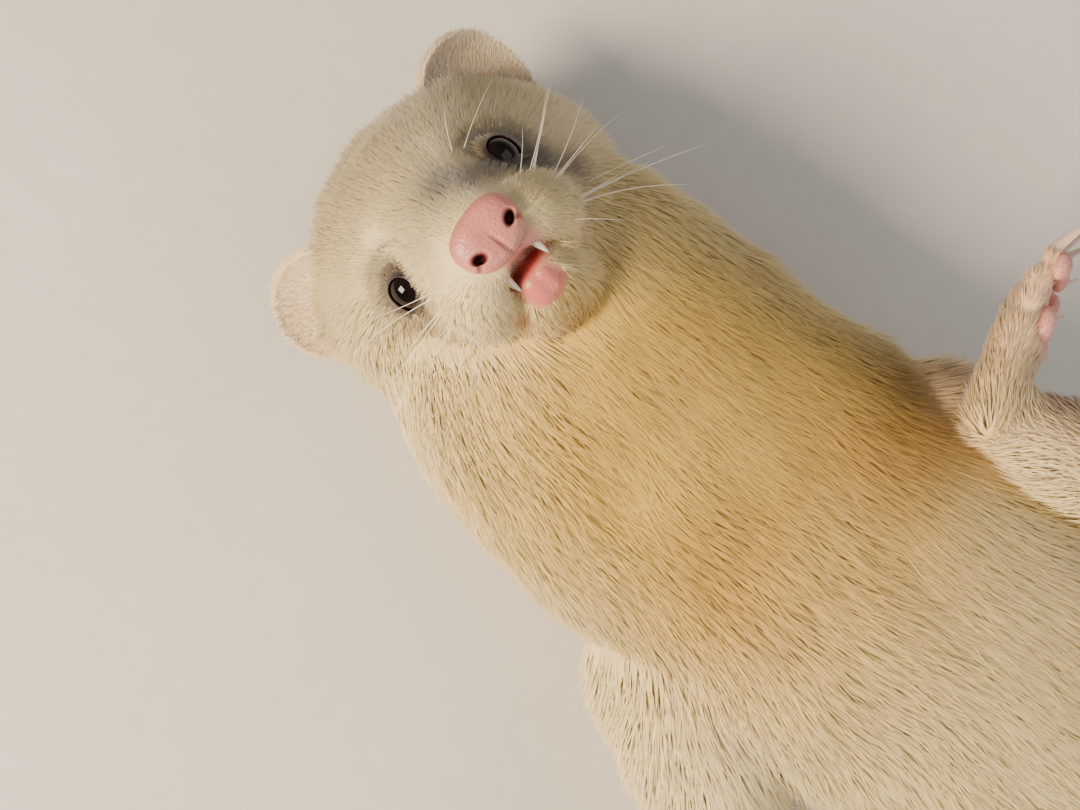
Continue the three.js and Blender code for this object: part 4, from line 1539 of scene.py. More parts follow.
@dataclass
class Coat:
    """Grows tufts on the skin."""

    body: Body
    hair: Material
    points: Array = field(init=False)
    triangles: Array = field(init=False)
    normals: Array = field(init=False)
    look: dict[str, Array] = field(init=False)

    def __post_init__(self) -> None:
        """Reads the skin once and finds the lie of the hair all over it."""
        self.points, self.triangles, self.normals = read_mesh(self.body.item.data)
        self.look = self.body.blended(self.points)
        self.look["lie"], self.look["sure"] = self.settled(self.look["lie"], 40)
        sizes = np.stack([self.look["length"], self.look["width"]], -1)
        for _ in range(12):
            sizes = neighbour_mean(sizes, self.triangles)
        self.look["length"], self.look["width"] = sizes[:, 0], sizes[:, 1]
        kind = self.kinds(self.look["part"])
        for _ in range(40):
            kind = neighbour_mean(kind, self.triangles)
        self.look["kind"] = kind

    def settled(self, lie: Array, rounds: int) -> tuple[Array, Array]:
        """The lie evened out along the skin, so that where it would stand upright its neighbours lead.

        Args:
            lie: the wished lie at each vertex, (n, 3).
            rounds: how often each vertex takes half of the mean of its neighbours.

        Returns:
            The lie in the plane of the skin, (n, 3), and how well the neighbours agree on it, 0 to 1.
        """
        for _ in range(rounds):
            lie = lie - self.normals * np.sum(lie * self.normals, axis=1, keepdims=True)
            lie = 0.5 * lie + 0.5 * neighbour_mean(lie, self.triangles)
        lie = lie - self.normals * np.sum(lie * self.normals, axis=1, keepdims=True)
        return unit(lie), smoothstep(0.05, 0.5, np.linalg.norm(lie, axis=1))

    def scattered(self, region: Region, rng: Chance) -> tuple[Array, Array]:
        """Roots spread evenly over a region.

        Many random points are thrown on its triangles by area, and one is kept in each cell of a
        grid of the wanted spacing. On the side that faces the floor they stand wider apart.

        Args:
            region: the piece of coat.
            rng: the source of chance.

        Returns:
            The triangle of each root, and the root's weights for its three corners.
        """
        chosen = np.flatnonzero(region.mask[self.triangles].sum(axis=1) >= 2)
        tri = self.triangles[chosen]
        a, b, c = (self.points[tri[:, k]] for k in range(3))
        area = np.linalg.norm(np.cross(b - a, c - a), axis=1) / 2
        floor = smoothstep(-0.2, -0.7, self.normals[tri[:, 0], 2])
        step = np.where(rng.uniform(size=len(tri)) < floor, region.spacing * 1.6, region.spacing)
        want = np.cumsum(area / step**2) * THROWS
        picks = np.searchsorted(want, rng.uniform(0, want[-1], int(want[-1])))
        u, v = rng.uniform(size=(2, len(picks)))
        flip = u + v > 1
        u[flip], v[flip] = 1 - u[flip], 1 - v[flip]
        weights = np.stack([1 - u - v, u, v], -1)
        roots = np.einsum("nk,nkx->nx", weights, self.points[tri[picks]])
        kept = np.unique(cell_key(roots, step[picks]), return_index=True)[1]
        return chosen[picks[kept]], weights[kept]

    def grow(self, region: Region, seed: int) -> Item:
        """One piece of coat.

        Args:
            region: the piece of coat.
            seed: fixes the chance in it.

        Returns:
            The dressed piece.
        """
        rng = np.random.default_rng(SEED + seed)
        at, weights = self.scattered(region, rng)
        corners = self.triangles[at]
        roots = np.einsum("nk,nkx->nx", weights, self.points[corners])
        kind = self.look["kind"][corners[:, 0]]
        bare = bare_share(roots, palm_share(roots, kind, self.body.paws))
        stay = np.flatnonzero(rng.uniform(size=len(roots)) > bare * 1.2)
        order = np.sort(rng.permutation(stay)[: region.limit // len(TUFT_FACES)])
        roots, weights, corners = roots[order], weights[order], corners[order]
        normals = unit(np.einsum("nk,nkx->nx", weights, self.normals[corners]))
        look = {key: self.look[key][corners[:, 0]] for key in ("part", "along", "round", "kind")}
        look["lie"] = np.einsum("nk,nkx->nx", weights, self.look["lie"][corners])
        sure = np.sum(weights * self.look["sure"][corners], axis=1)
        look["length"] = np.sum(weights * self.look["length"][corners], axis=1) * (0.55 + 0.45 * sure)
        look["turn"] = rng.normal(size=len(roots)) * 0.9 * (1 - sure)
        look["width"] = np.sum(weights * self.look["width"][corners], axis=1)
        log.info("%s: %d roots wanted, %d grown", region.name, len(stay), len(order))
        return self.sprout(region.name, roots, normals, look, region.tuft, rng)

    def sprout(
        self,
        name: str,
        roots: Array,
        normals: Array,
        look: dict[str, Array],
        tuft: Tuft,
        rng: Chance,
    ) -> Item:
        """Makes the tufts on their roots.

        A tuft is a slim pyramid. Its foot is a flat triangle, sunk into the skin a little, and its tip
        lies at root + length·(lie + lift·normal), drawn towards the mean of the tips close by.

        Args:
            name: the piece's name.
            roots: (n, 3).
            normals: the skin's, (n, 3).
            look: the lie, length and width of the hair and its place on the unwrap, and if need be
                a further turn of each tuft or its own colour.
            tuft: the shape.
            rng: the source of chance.

        Returns:
            The dressed piece.
        """
        count = len(roots)
        lie = unit(look["lie"] - normals * np.sum(look["lie"] * normals, axis=1, keepdims=True))
        side = np.cross(normals, lie)
        turn = waves(roots, tuft.flow_size, 11)[:, 0] * tuft.flow + rng.normal(size=count) * tuft.scatter
        turn = turn + look.get("turn", 0)
        lie = lie * np.cos(turn)[:, None] + side * np.sin(turn)[:, None]
        side = np.cross(normals, lie)
        length = look["length"] * rng.uniform(0.72, 1.22, count) * shortening(HEAD.local(roots))
        width = look["width"] * rng.uniform(0.75, 1.25, count)
        lift = tuft.lift * rng.uniform(0.7, 1.3, count) * (1 + 0.25 * waves(roots, 17, 12)[:, 0])
        tips = roots + length[:, None] * (lie + lift[:, None] * normals)
        lock = np.unique(cell_key(tips, np.full(count, tuft.gather_size)), return_inverse=True)[1].ravel()
        size = np.bincount(lock)
        middle = np.stack([np.bincount(lock, tips[:, k]) / size for k in range(3)], -1)[lock]
        pull = (middle - tips) * tuft.gather
        foot, tip = roots - ROOT_DEPTH * normals, tips + pull
        for end in (foot, tip):
            end[:, 2] = np.maximum(end[:, 2], FLOOR_GAP)
        broad = width[:, None] * side / 2
        thick = TUFT_THICKNESS * width[:, None] * normals
        points = np.stack([foot + broad, foot + thick, foot - broad, tip], axis=1)
        each = points.shape[1]
        faces = (np.arange(count) * each)[:, None, None] + TUFT_FACES
        item = mesh_object(name, points.reshape(-1, 3), [faces.reshape(-1, 3)])
        along, across = np.array([0, 0, 0, 1.0]), np.array([0, 0.5, 1, 0.5])
        colour = look.get("tone")
        if colour is None:
            colour = markings(roots, look.get("kind", self.kinds(look["part"])), self.body.paws)
        colour = colour * rng.normal(1, 0.05, (count, 1)) * rng.normal(1, 0.012, (count, 3))
        store(item, "Tone", np.repeat(colour, each, axis=0))
        store(item, "Tip", np.tile(along, count))
        store(item, "Strand", (rng.uniform(0, 400, count)[:, None] + across).ravel())
        self.unwrap(item, look, along, across)
        soft = unit(0.72 * np.repeat(normals, each, axis=0) + 0.45 * read_mesh(item.data)[2])
        item.data.normals_split_custom_set_from_vertices(soft.astype(np.float32))
        return dress(item, self.hair, "fur")

    def kinds(self, numbers: Array) -> Array:
        """For the parts of those numbers, 1 in the column of head, tail, legs or paws."""
        starts = ("head", "tail", ("upper", "lower", "paw", "toe"), ("paw", "toe"))
        names = [part.name for part in self.body.parts]
        return np.array([[name.startswith(start) for start in starts] for name in names], float)[numbers]

    def unwrap(self, item: Item, look: dict[str, Array], along: Array, across: Array) -> None:
        """Writes the map OFBake: the skin unrolled part by part, with a patch 0.003 across for a tuft.

        Args:
            item: the piece of coat.
            look: the nearest part of each tuft, and the share of the way along and round it.
            along: for each vertex of a tuft, how far along it lies.
            across: for each vertex of a tuft, how far across it lies.
        """
        present = np.unique(look["part"])
        tile = np.searchsorted(present, look["part"])
        u = (tile + 0.02 + 0.96 * look["round"]) / len(present)
        v = 0.01 + 0.98 * look["along"]
        uv = np.stack([u[:, None] + BAKE_PATCH * (across - 0.5), v[:, None] + BAKE_PATCH * (along - 0.5)], -1)
        corner = np.empty(len(item.data.loops), np.int32)
        item.data.loops.foreach_get("vertex_index", corner)
        layer = item.data.uv_layers.new(name="OFBake")
        layer.data.foreach_set("uv", np.clip(uv.reshape(-1, 2), 0, 1)[corner].astype(np.float32).ravel())


# Face


@dataclass
class Eye:
    """An eyeball and the lids round its opening."""

    SLANT = math.radians(40)  # the outer corner below the level of the eye
    sign: int
    half_length: float = 2.75
    half_height: float = 2.5
    lid: float = 0.34  # thickness of the edge of the lids
    reach: float = 5.4  # radius at which the lids end under the skin
    hairs: int = 5200

    @property
    def side(self) -> str:
        """The name of the eye's side."""
        return "left" if self.sign > 0 else "right"

    def ball(self, finish: Material) -> Item:
        """The eyeball: a sphere whose colour runs from the black pupil to a dark brown iris and rim.

        Args:
            finish: its material.

        Returns:
            The piece.
        """
        axes = eye_axes(self.sign) @ HEAD.axes * EYE_RADIUS
        points, faces = ball(HEAD.world(eye_centre(self.sign)), axes, 40, 56)
        item = mesh_object(f"eyeball_{self.side}", points, faces)
        outwards = unit(HEAD.local(points) - eye_centre(self.sign))
        away = np.arccos(np.clip(outwards @ gaze_of(self.sign), -1, 1))
        iris = np.exp(-(((away - 0.5) / 0.22) ** 2))
        store(item, "Tone", mixed(np.tile(linear("#050403"), (len(points), 1)), linear("#170c09"), iris))
        return dress(item, finish, "eye", f"eye_{self.side}")

    def opening(self, angle: Array) -> Array:
        """The edge of the lids: an ellipse drawn out to a point at the outer corner.

        Args:
            angle: round the line of sight.

        Returns:
            The distances from that line.
        """
        a, b = self.half_length, self.half_height
        ellipse = a * b / np.sqrt((b * np.cos(angle)) ** 2 + (a * np.sin(angle)) ** 2)
        wrapped = np.angle(np.exp(1j * angle))
        corner = 0.8 * np.exp(-((wrapped / 0.28) ** 2))
        return ellipse + corner - 0.25 * np.exp(-((np.abs(wrapped) - 0.8) / 0.4) ** 2)

    def lid_rows(self, skin: Array) -> tuple[Array, Array]:
        """The rows of the lids, each a ring round the line of sight.

        The first rows go half a circle round the edge of the lid. Then the lid runs out to its border
        under the skin, level by level: forward is mixed from the edge's to the skin's by 3t² − 2t³.
        The last rows close it from below.

        Args:
            skin: the vertices of the skin, in millimetres.

        Returns:
            The points in the eye's frame, and for each row the share of the way out.
        """
        angle = np.linspace(0, 2 * math.pi, 96, endpoint=False)
        edge = self.opening(angle)
        local = (HEAD.local(skin) - eye_centre(self.sign)) @ eye_axes(self.sign).T
        local = local[(np.hypot(local[:, 0], local[:, 1]) < 9) & (local[:, 2] > -4)]
        border = self.reach * np.stack([np.cos(angle), np.sin(angle)], -1)
        gaps = np.linalg.norm(border[:, None] - local[None, :, :2], axis=2)
        near = np.argsort(gaps, axis=1)[:, :6]
        level = local[near, 2].mean(axis=1) - 0.35
        rows, shares = [], []
        for a in np.linspace(-math.pi / 2, math.pi / 2, 9):
            radius = edge - self.lid / 2 * math.cos(a)
            shell = EYE_RADIUS + self.lid / 2 * (1 + math.sin(a))
            rows.append((radius, np.sqrt(np.maximum(shell**2 - radius**2, 0.3))))
            shares.append(0.0)
        top = rows[-1][1]
        plan = [(share, self.reach, 0.0) for share in np.linspace(0.08, 1, 14)]
        plan += [(share, self.reach - 0.2, 0.8) for share in (1.0, 0.5, 0.12)]
        for share, reach, sunk in plan:
            rise = (level - top) * smoothstep(-0.15, 1, share)
            rows.append((edge + (reach - edge) * share, top + rise - sunk))
            shares.append(share)
        radius, forward = (np.array([row[k] for row in rows]) for k in (0, 1))
        return np.stack([radius * np.cos(angle), radius * np.sin(angle), forward], -1), np.array(shares)

    def lids(self, coat: Coat, finish: Material) -> Item:
        """The lids: from a rounded dark rim on the eyeball they run out under the skin.

        Args:
            coat: knows the skin that they meet.
            finish: their material.

        Returns:
            The piece.
        """
        flat, shares = self.lid_rows(coat.points)
        points = HEAD.world(eye_centre(self.sign) + flat @ eye_axes(self.sign))
        count, sides = points.shape[:2]
        quads = grid_faces(count + 1, sides) % (count * sides)
        points = points.reshape(-1, 3)
        item = mesh_object(f"eyelids_{self.side}", points, [quads])
        dark = np.repeat(1 - smoothstep(0.05, 0.3, shares), sides)
        skin = markings(points, np.tile([1.0, 0, 0, 0], (len(points), 1)), ())
        # Out from the rim the lids are the coat's colour at 0.7, turning dark brown near the rim: painted
        # shade of the lids under the fur.
        near = np.repeat(1 - smoothstep(0.2, 0.9, shares), sides)
        skin = mixed(skin * 0.7, linear("#54443d"), 0.85 * near)
        store(item, "Tone", mixed(skin, tone(Tone.RIM), dark))
        store(item, "Wet", dark * 0.8)
        return dress(item, finish, "skin")

    def hair(self, coat: Coat, rng: Chance) -> Item:
        """Short hair on the lids, from just outside the rim to the coat of the face.

        Args:
            coat: what grows it.
            rng: where its chance comes from.

        Returns:
            The piece.
        """
        flat, shares = self.lid_rows(coat.points)
        outer = flat[9:23]
        count = self.hairs
        row = np.sqrt(rng.uniform(0.003, 1, count)) * 12.9
        column = rng.uniform(0, outer.shape[1], count)
        i, j = row.astype(int), column.astype(int)
        f, g = (row - i)[:, None], (column - j)[:, None]
        k = (j + 1) % outer.shape[1]
        low = outer[i, j] * (1 - g) + outer[i, k] * g
        high = outer[i + 1, j] * (1 - g) + outer[i + 1, k] * g
        roots = low + (high - low) * f
        slope = unit(high - low)
        around = unit(outer[i, k] - outer[i, j])
        axes = eye_axes(self.sign)
        normals = unit(np.cross(slope, around)) @ axes @ HEAD.axes
        away = unit(HEAD.world(eye_centre(self.sign) + roots @ axes) - HEAD.world(BEFORE_NOSE))
        lie = unit(1.5 * slope @ axes @ HEAD.axes + 0.4 * away)
        share = shares[9:23][i]
        look = {
            "lie": lie,
            "length": 2.2 + 2.4 * share,
            "width": np.full(count, 0.28),
            "part": np.zeros(count, int),
            "along": 0.7 + 0.01 * self.sign + 0 * share,
            "round": np.clip(0.5 + roots[:, 0] / 60, 0, 1),
        }
        tuft = Tuft(lift=0.5, gather=0.25, gather_size=1.2, scatter=0.2)
        points = HEAD.world(eye_centre(self.sign) + roots @ axes)
        return coat.sprout(f"eyelid_hair_{self.side}", points, normals, look, tuft, rng)


@dataclass
class Nose:
    """The nose leather with its nostrils."""

    # Distance towards the front, and the size of the outline there.
    PROFILE = ((-7.5, 0.74), (-4.5, 0.95), (-2.6, 1.0), (-1.1, 0.88), (-0.35, 0.62), (-0.05, 0.3), (0, 0.02))
    rows: int = 90
    columns: int = 140

    @staticmethod
    def dent(x: Array, y: Array, middle: Sequence[float], turn: float, radii: Sequence[float]) -> Array:
        """A dent, exp(−q⁴), q being the distance from its middle over its radii.

        Args:
            x, y: places on the front of the nose.
            middle: how far the dent lies to the side, and below the middle of the nose.
            turn: the angle by which its radii are turned.
            radii: its two radii.

        Returns:
            The dent's depth, 0 to 1.
        """
        px, py = x - middle[0], y + NOSE_DROP + middle[1]
        qx = (px * math.cos(turn) + py * math.sin(turn)) / radii[0]
        qy = (py * math.cos(turn) - px * math.sin(turn)) / radii[1]
        return np.exp(-((qx**2 + qy**2) ** 2))

    def build(self, finish: Material) -> Item:
        """A rounded button whose outline is a superellipse of power 2.35.

        The profile runs out from the muzzle and over the front. Each nostril is a deep dent with a
        slit that curls out of it, and a groove runs down the middle to the lip.

        Args:
            finish: its material.

        Returns:
            The piece.
        """
        profile = eased(np.array(self.PROFILE), self.rows)
        angle = np.linspace(0, 2 * math.pi, self.columns, endpoint=False)
        c, s = np.cos(angle), np.sin(angle)
        tall = np.where(s > 0, 0.86, 1.14) * NOSE_HALF_HEIGHT
        across, over = (np.sign(a) * np.abs(a) ** (2 / 2.35) for a in (c, s))
        outline = np.stack([NOSE_HALF_WIDTH * across, tall * over], -1)
        flat = profile[:, 1, None, None] * outline[None]
        depth = np.broadcast_to(NOSE_REACH + profile[:, 0, None], flat.shape[:2]).copy()
        x, y = flat[..., 0], flat[..., 1] - NOSE_DROP + 0.6
        pit = np.zeros_like(x)
        for sign in (1, -1):
            side = sign * NOSTRIL_SPACING / 2
            pit = np.maximum(pit, self.dent(x, y, (side, 1.1), sign * 0.5, (1.05, 0.7)))
            pit = np.maximum(pit, 0.3 * self.dent(x, y, (side + sign, 1.9), sign * -0.6, (1.3, 0.42)))
        groove = np.exp(-((x / 0.3) ** 2)) * smoothstep(-NOSE_DROP + 0.4, -NOSE_DROP - 2.4, y)
        saddle = np.exp(-((x / 1.6) ** 2)) * np.exp(-(((y + NOSE_DROP) / 3) ** 2))
        depth -= 2.3 * pit + 0.5 * groove + 0.25 * saddle
        points, faces = capped(HEAD.world(np.stack([x, y, depth], -1)))
        item = mesh_object("nose_leather", points, faces)
        pink = np.tile(linear("#d58b80"), (len(points), 1))
        local = HEAD.local(points)
        rim = smoothstep(0.6, 1.0, np.append(np.broadcast_to(profile[:, 1, None], pit.shape).ravel(), [0, 0]))
        crownwards = smoothstep(-9, -4, local[:, 1])
        pink = mixed(pink, linear("#9c5850"), 0.85 * rim * crownwards)
        pink = mixed(pink, linear("#dfa595"), 0.6 * smoothstep(-9, -12, local[:, 1]))
        cloudy = np.clip(0.5 + 0.5 * waves(local, 5, 51)[:, 0], 0, 1)
        pink = mixed(pink, linear("#c9756b"), 0.5 * cloudy)
        # The nostril pits are painted dark red-brown: painted shade of the deep openings.
        nostril_shade = np.append(np.clip(pit.ravel() * 1.6, 0, 1), [0, 0])
        pink = mixed(pink, linear("#4a1b18"), nostril_shade)
        store(item, "Tone", mixed(pink, linear("#b4736b"), np.append(0.6 * groove.ravel(), [0, 0])))
        return dress(item, finish, "nose_leather", "nose")


@dataclass
class Ear:
    """A round, thin ear: a shallow cup set on the side of the crown."""

    sign: int
    thickness: float = 1.5

    @property
    def side(self) -> str:
        """The name of the ear's side."""
        return "left" if self.sign > 0 else "right"

    def place(self) -> Place:
        """The ear's frame: x across it, y to its top, z out of its cup."""
        turn = spun(2, -self.sign * 0.92) @ spun(1, self.sign * 0.42) @ spun(0, -0.22)
        origin = HEAD.world(np.array([self.sign * 22.2, 9.8, -19.0]))
        return Place(origin, turn.T @ HEAD.axes)

    def surface(self, rho: Array, angle: Array, face: float) -> Array:
        """Points of the cup, which deepens by 3.4·(1 − rho²)^0.8 and has a pit towards the throat.

        Args:
            rho: share of the way from the middle to the rim.
            angle: round the cup.
            face: 1 for the inner face, −1 for the outer one.

        Returns:
            The points in the ear's frame.
        """
        across, tall = EAR_WIDTH / 2 - 1.2, EAR_HEIGHT / 2 - 1.0
        x, y = across * rho * np.cos(angle), tall * rho * np.sin(angle)
        z = 0.4 - 3.4 * np.maximum(1 - rho**2, 0) ** 0.8 + 0.6 * np.cos(3 * angle + 0.6) * rho**3
        fold = np.exp(-(((x - self.sign * 1.2 - 0.1 * y * y * self.sign) / 0.9) ** 2) - ((y - 1) / 4.5) ** 2)
        fold += 0.8 * np.exp(-(((x + self.sign * 4.2) / 1.0) ** 2) - ((y + 0.5) / 4.5) ** 2)
        pit = 2.2 * np.exp(-(((x - self.sign * 4.8) / 2.4) ** 2) - ((y + 1.4) / 3.2) ** 2)
        half = self.thickness * (0.8 + 0.2 * rho) / 2
        z = z + face * half + (face > 0) * (fold * (1 - rho**4) - pit * (1 - rho**6))
        return np.stack([x, y, z], -1)

    def normals(self, rho: Array, angle: Array) -> Array:
        """The normals of the inner face in the ear's frame, from the slopes to points close by."""
        here = self.surface(rho, angle, 1.0)
        outer = self.surface(rho + 0.01, angle, 1.0) - here
        round_it = self.surface(rho, angle + 0.02, 1.0) - here
        return unit(np.cross(outer, round_it))

    def build(self, finish: Material) -> Item:
        """The ear: its outer face, a rim in half a circle and its inner face, in one closed surface.

        Args:
            finish: its material.

        Returns:
            The piece.
        """
        angle = np.linspace(0, 2 * math.pi, 120, endpoint=False)[None]
        rho = np.linspace(0.02, 1, 44)[:, None] ** 0.8
        outer = self.surface(rho, angle, -1.0)
        inner = self.surface(rho, angle, 1.0)[::-1]
        middle, half = (outer[-1] + inner[0]) / 2, (inner[0] - outer[-1]) / 2
        outwards = np.stack([np.cos(angle[0]), np.sin(angle[0]), 0 * angle[0]], -1) * self.thickness / 2
        turns = np.linspace(-math.pi / 2, math.pi / 2, 9)[1:-1]
        rim = np.array([middle + math.sin(a) * half + math.cos(a) * outwards for a in turns])
        points, faces = capped(self.place().world(np.concatenate([outer, rim, inner])))
        item = mesh_object(f"ear_skin_{self.side}", points, faces)
        share = np.concatenate([rho[:, 0], np.ones(len(rim)), rho[::-1, 0]])
        share = np.append(np.repeat(share, angle.size), [0, 0])
        inside = np.append(np.repeat(np.r_[np.zeros(44 + len(rim)), np.ones(44)], angle.size), [0, 1])
        local = self.place().local(points)
        peach = np.tile(linear("#e6bd92"), (len(points), 1))
        warm = bump((local - [self.sign * 3.5, -2.5, 0])[:, :2], (6.5, 6.0))
        peach = mixed(peach, linear("#cf8658"), inside * warm)
        # Dark brown in the pit towards the throat: painted shade of the ear's opening.
        ear_opening_shade = bump((local - [self.sign * 4.8, -1.4, 0])[:, :2], (2.6, 3.0))
        peach = mixed(peach, linear("#6b3d2b"), inside * ear_opening_shade)
        peach = mixed(peach, linear("#efd9b4"), smoothstep(0.8, 1.0, share))
        store(item, "Tone", mixed(peach, linear("#e0c79c"), 0.8 * (1 - inside)))
        return dress(item, finish, "ear_skin", f"ear_{self.side}")

    def fur(self, coat: Coat, rng: Chance) -> Item:
        """Short hair over both faces of the ear and its rim, longer where it rises from the head.

        Args:
            coat: what grows it.
            rng: where its chance comes from.

        Returns:
            The piece.
        """
        counts = (2600, 3600, 5600)
        rho = np.sqrt(rng.uniform(0.05, 0.9, counts[0]))
        angle = rng.uniform(0, 2 * math.pi, counts[0])
        c, s, o = np.cos(angle), np.sin(angle), np.ones_like(angle)
        roots = [self.surface(rho, angle, -1.0)]
        ways, outs = [np.stack([0.2 * c, o, 0 * o], -1)], [np.stack([c * rho, s * rho, -1.2 * o], -1)]
        length = [rng.uniform(2.0, 3.0, counts[0])]
        angle = rng.uniform(0, 2 * math.pi, counts[1])
        c, s, o = np.cos(angle), np.sin(angle), np.ones_like(angle)
        across = rng.uniform(-0.8, 1.0, counts[1])
        roots.append(self.surface(rng.uniform(0.96, 1.04, counts[1]), angle, 1.0))
        roots[-1][:, 2] += (across - 1) * self.thickness / 2
        ways.append(np.stack([0.7 * c, 0.6 * s + 0.8, 0.15 * o], -1))
        outs.append(np.stack([0.6 * c, 0.6 * s, 0.8 * o], -1))
        length.append(rng.uniform(0.7, 2.0, counts[1]))
        rho = np.sqrt(rng.uniform(0.01, 0.96, counts[2]))
        angle = rng.uniform(0, 2 * math.pi, counts[2])
        c, s, o = np.cos(angle), np.sin(angle), np.ones_like(angle)
        roots.append(self.surface(rho, angle, 1.0))
        low = smoothstep(1, -8, roots[-1][:, 1])
        ways.append(np.stack([0.5 * c - 0.4 * self.sign * low, 0.3 * s + 0.8 * o, 0 * o], -1))
        outs.append(self.normals(rho, angle))
        length.append((1.7 + 3.4 * low) * rng.uniform(0.7, 1.3, counts[2]))
        place = self.place()
        roots, ways, outs, length = (np.concatenate(a) for a in (roots, ways, outs, length))
        pit = np.exp(-(((roots[:, 0] - self.sign * 4.8) / 2.2) ** 2) - ((roots[:, 1] + 1.2) / 2.6) ** 2)
        kept = rng.uniform(size=len(roots)) > 1.1 * pit
        roots, ways, outs, length = roots[kept], ways[kept], outs[kept], length[kept]
        count = len(roots)
        warm = np.clip(bump((roots - [self.sign * 3.5, -1.0, 0])[:, :2], (6.0, 5.0)), 0, 1) * 0.6
        look = {
            "lie": unit(place.turned(ways)),
            "length": length,
            "width": np.full(count, 0.27),
            "tone": mixed(np.tile(tone(Tone.FUZZ), (count, 1)), linear("#dda873"), warm),
            "part": np.zeros(count, int),
            "along": np.clip(0.5 + roots[:, 1] / 30, 0, 1),
            "round": np.clip(0.5 + roots[:, 0] / 30, 0, 1),
        }
        tuft = Tuft(lift=0.34, gather=0.2, gather_size=1.2, scatter=0.26)
        normals = unit(place.turned(outs))
        return coat.sprout(f"ear_hair_{self.side}", place.world(roots), normals, look, tuft, rng)


@dataclass
class Teeth:
    """The two upper canines, and the small teeth that show beside them."""

    def tooth(self, x: float, level: float, forward: float, length: float, radius: float) -> Shell:
        """A tooth that hangs from the gum and curves back, with radius·(1 − 0.86·t^1.4).

        Args:
            x: how far left of the middle.
            level: height of the gum.
            forward: how far towards the nose.
            length: below the gum.
            radius: at the gum.

        Returns:
            The points and the faces.
        """
        t = np.linspace(0, 1, 14)
        middle = np.stack([np.full_like(t, x), level + 1.0 - (length + 1.0) * t, forward - 0.9 * t * t], -1)
        size = radius * (1 - 0.86 * t**1.4)
        stations = np.column_stack([HEAD.world(middle), size, size * 1.12])
        return capped(limb_loft(stations, HEAD.axes[0], 14).rings(16))

    def build(self, finish: Material) -> Item:
        """All the teeth in one piece.

        Args:
            finish: their material.

        Returns:
            The piece.
        """
        shells = []
        for sign in (1, -1):
            canine = (sign * CANINE_SPACING / 2, GUM_LEVEL, CANINE_FORWARD - 1.2, CANINE_LENGTH - 0.7, 1.05)
            shells.append(self.tooth(*canine))
            shells.append(self.tooth(sign * 5.2, GUM_LEVEL - 1.6, 14.8, 2.6, 0.8))
        return dress(mesh_object("teeth", *joined(shells)), finish, "tooth")


@dataclass
class Whiskers:
    """Long tapered bristles on lips, brows and cheeks."""

    def build(self, finish: Material) -> Item:
        """Each is a thin tube along root + length·(t·way + t²·droop), tapered by (1 − t)^0.7.

        Args:
            finish: their material.

        Returns:
            The piece.
        """
        rng = np.random.default_rng(SEED + 7)
        plans = []
        for sign in (1, -1):
            for row in range(3):
                for step in range(4):
                    root = np.array([sign * (6.2 + 1.5 * step), -8.0 - 2.6 * row, 17.0 - 2.3 * step])
                    way = np.array([sign * 1.0, 0.3 - 0.42 * row, -0.1 - 0.3 * step])
                    plans.append((root, way, 12 + 6.5 * step + rng.uniform(-4, 5)))
            for step in range(2):
                root = np.array([sign * (8.2 + 1.4 * step), 4.6 - 1.1 * step, 5.6])
                plans.append((root, np.array([sign * 0.6, 0.8 - 0.5 * step, 0.2]), 8 + 3 * step))
            for step in range(2):
                root = np.array([sign * (17 + step), -14 - 2.5 * step, 0.0])
                plans.append((root, np.array([sign * 0.9, -0.35, 0.2]), 14 + 4 * step))
        t = np.linspace(0, 1, 13)
        shells = []
        for root, way, length in plans:
            thick = 0.08 if length > 12 else 0.05
            way = unit(way + rng.normal(size=3) * 0.16)
            droop = np.array([0, rng.uniform(-0.2, 0.1), -0.25]) + rng.normal(size=3) * 0.07
            middle = root + length * (t[:, None] * way + (t**2)[:, None] * droop)
            size = thick * (1 - t) ** 0.7 + 0.012
            stations = np.column_stack([HEAD.world(middle), size, size])
            shells.append(capped(limb_loft(stations, (0.3, 0.2, 1), 13).rings(6)))
        return dress(mesh_object("whiskers", *joined(shells)), finish, "fur")


# Studio


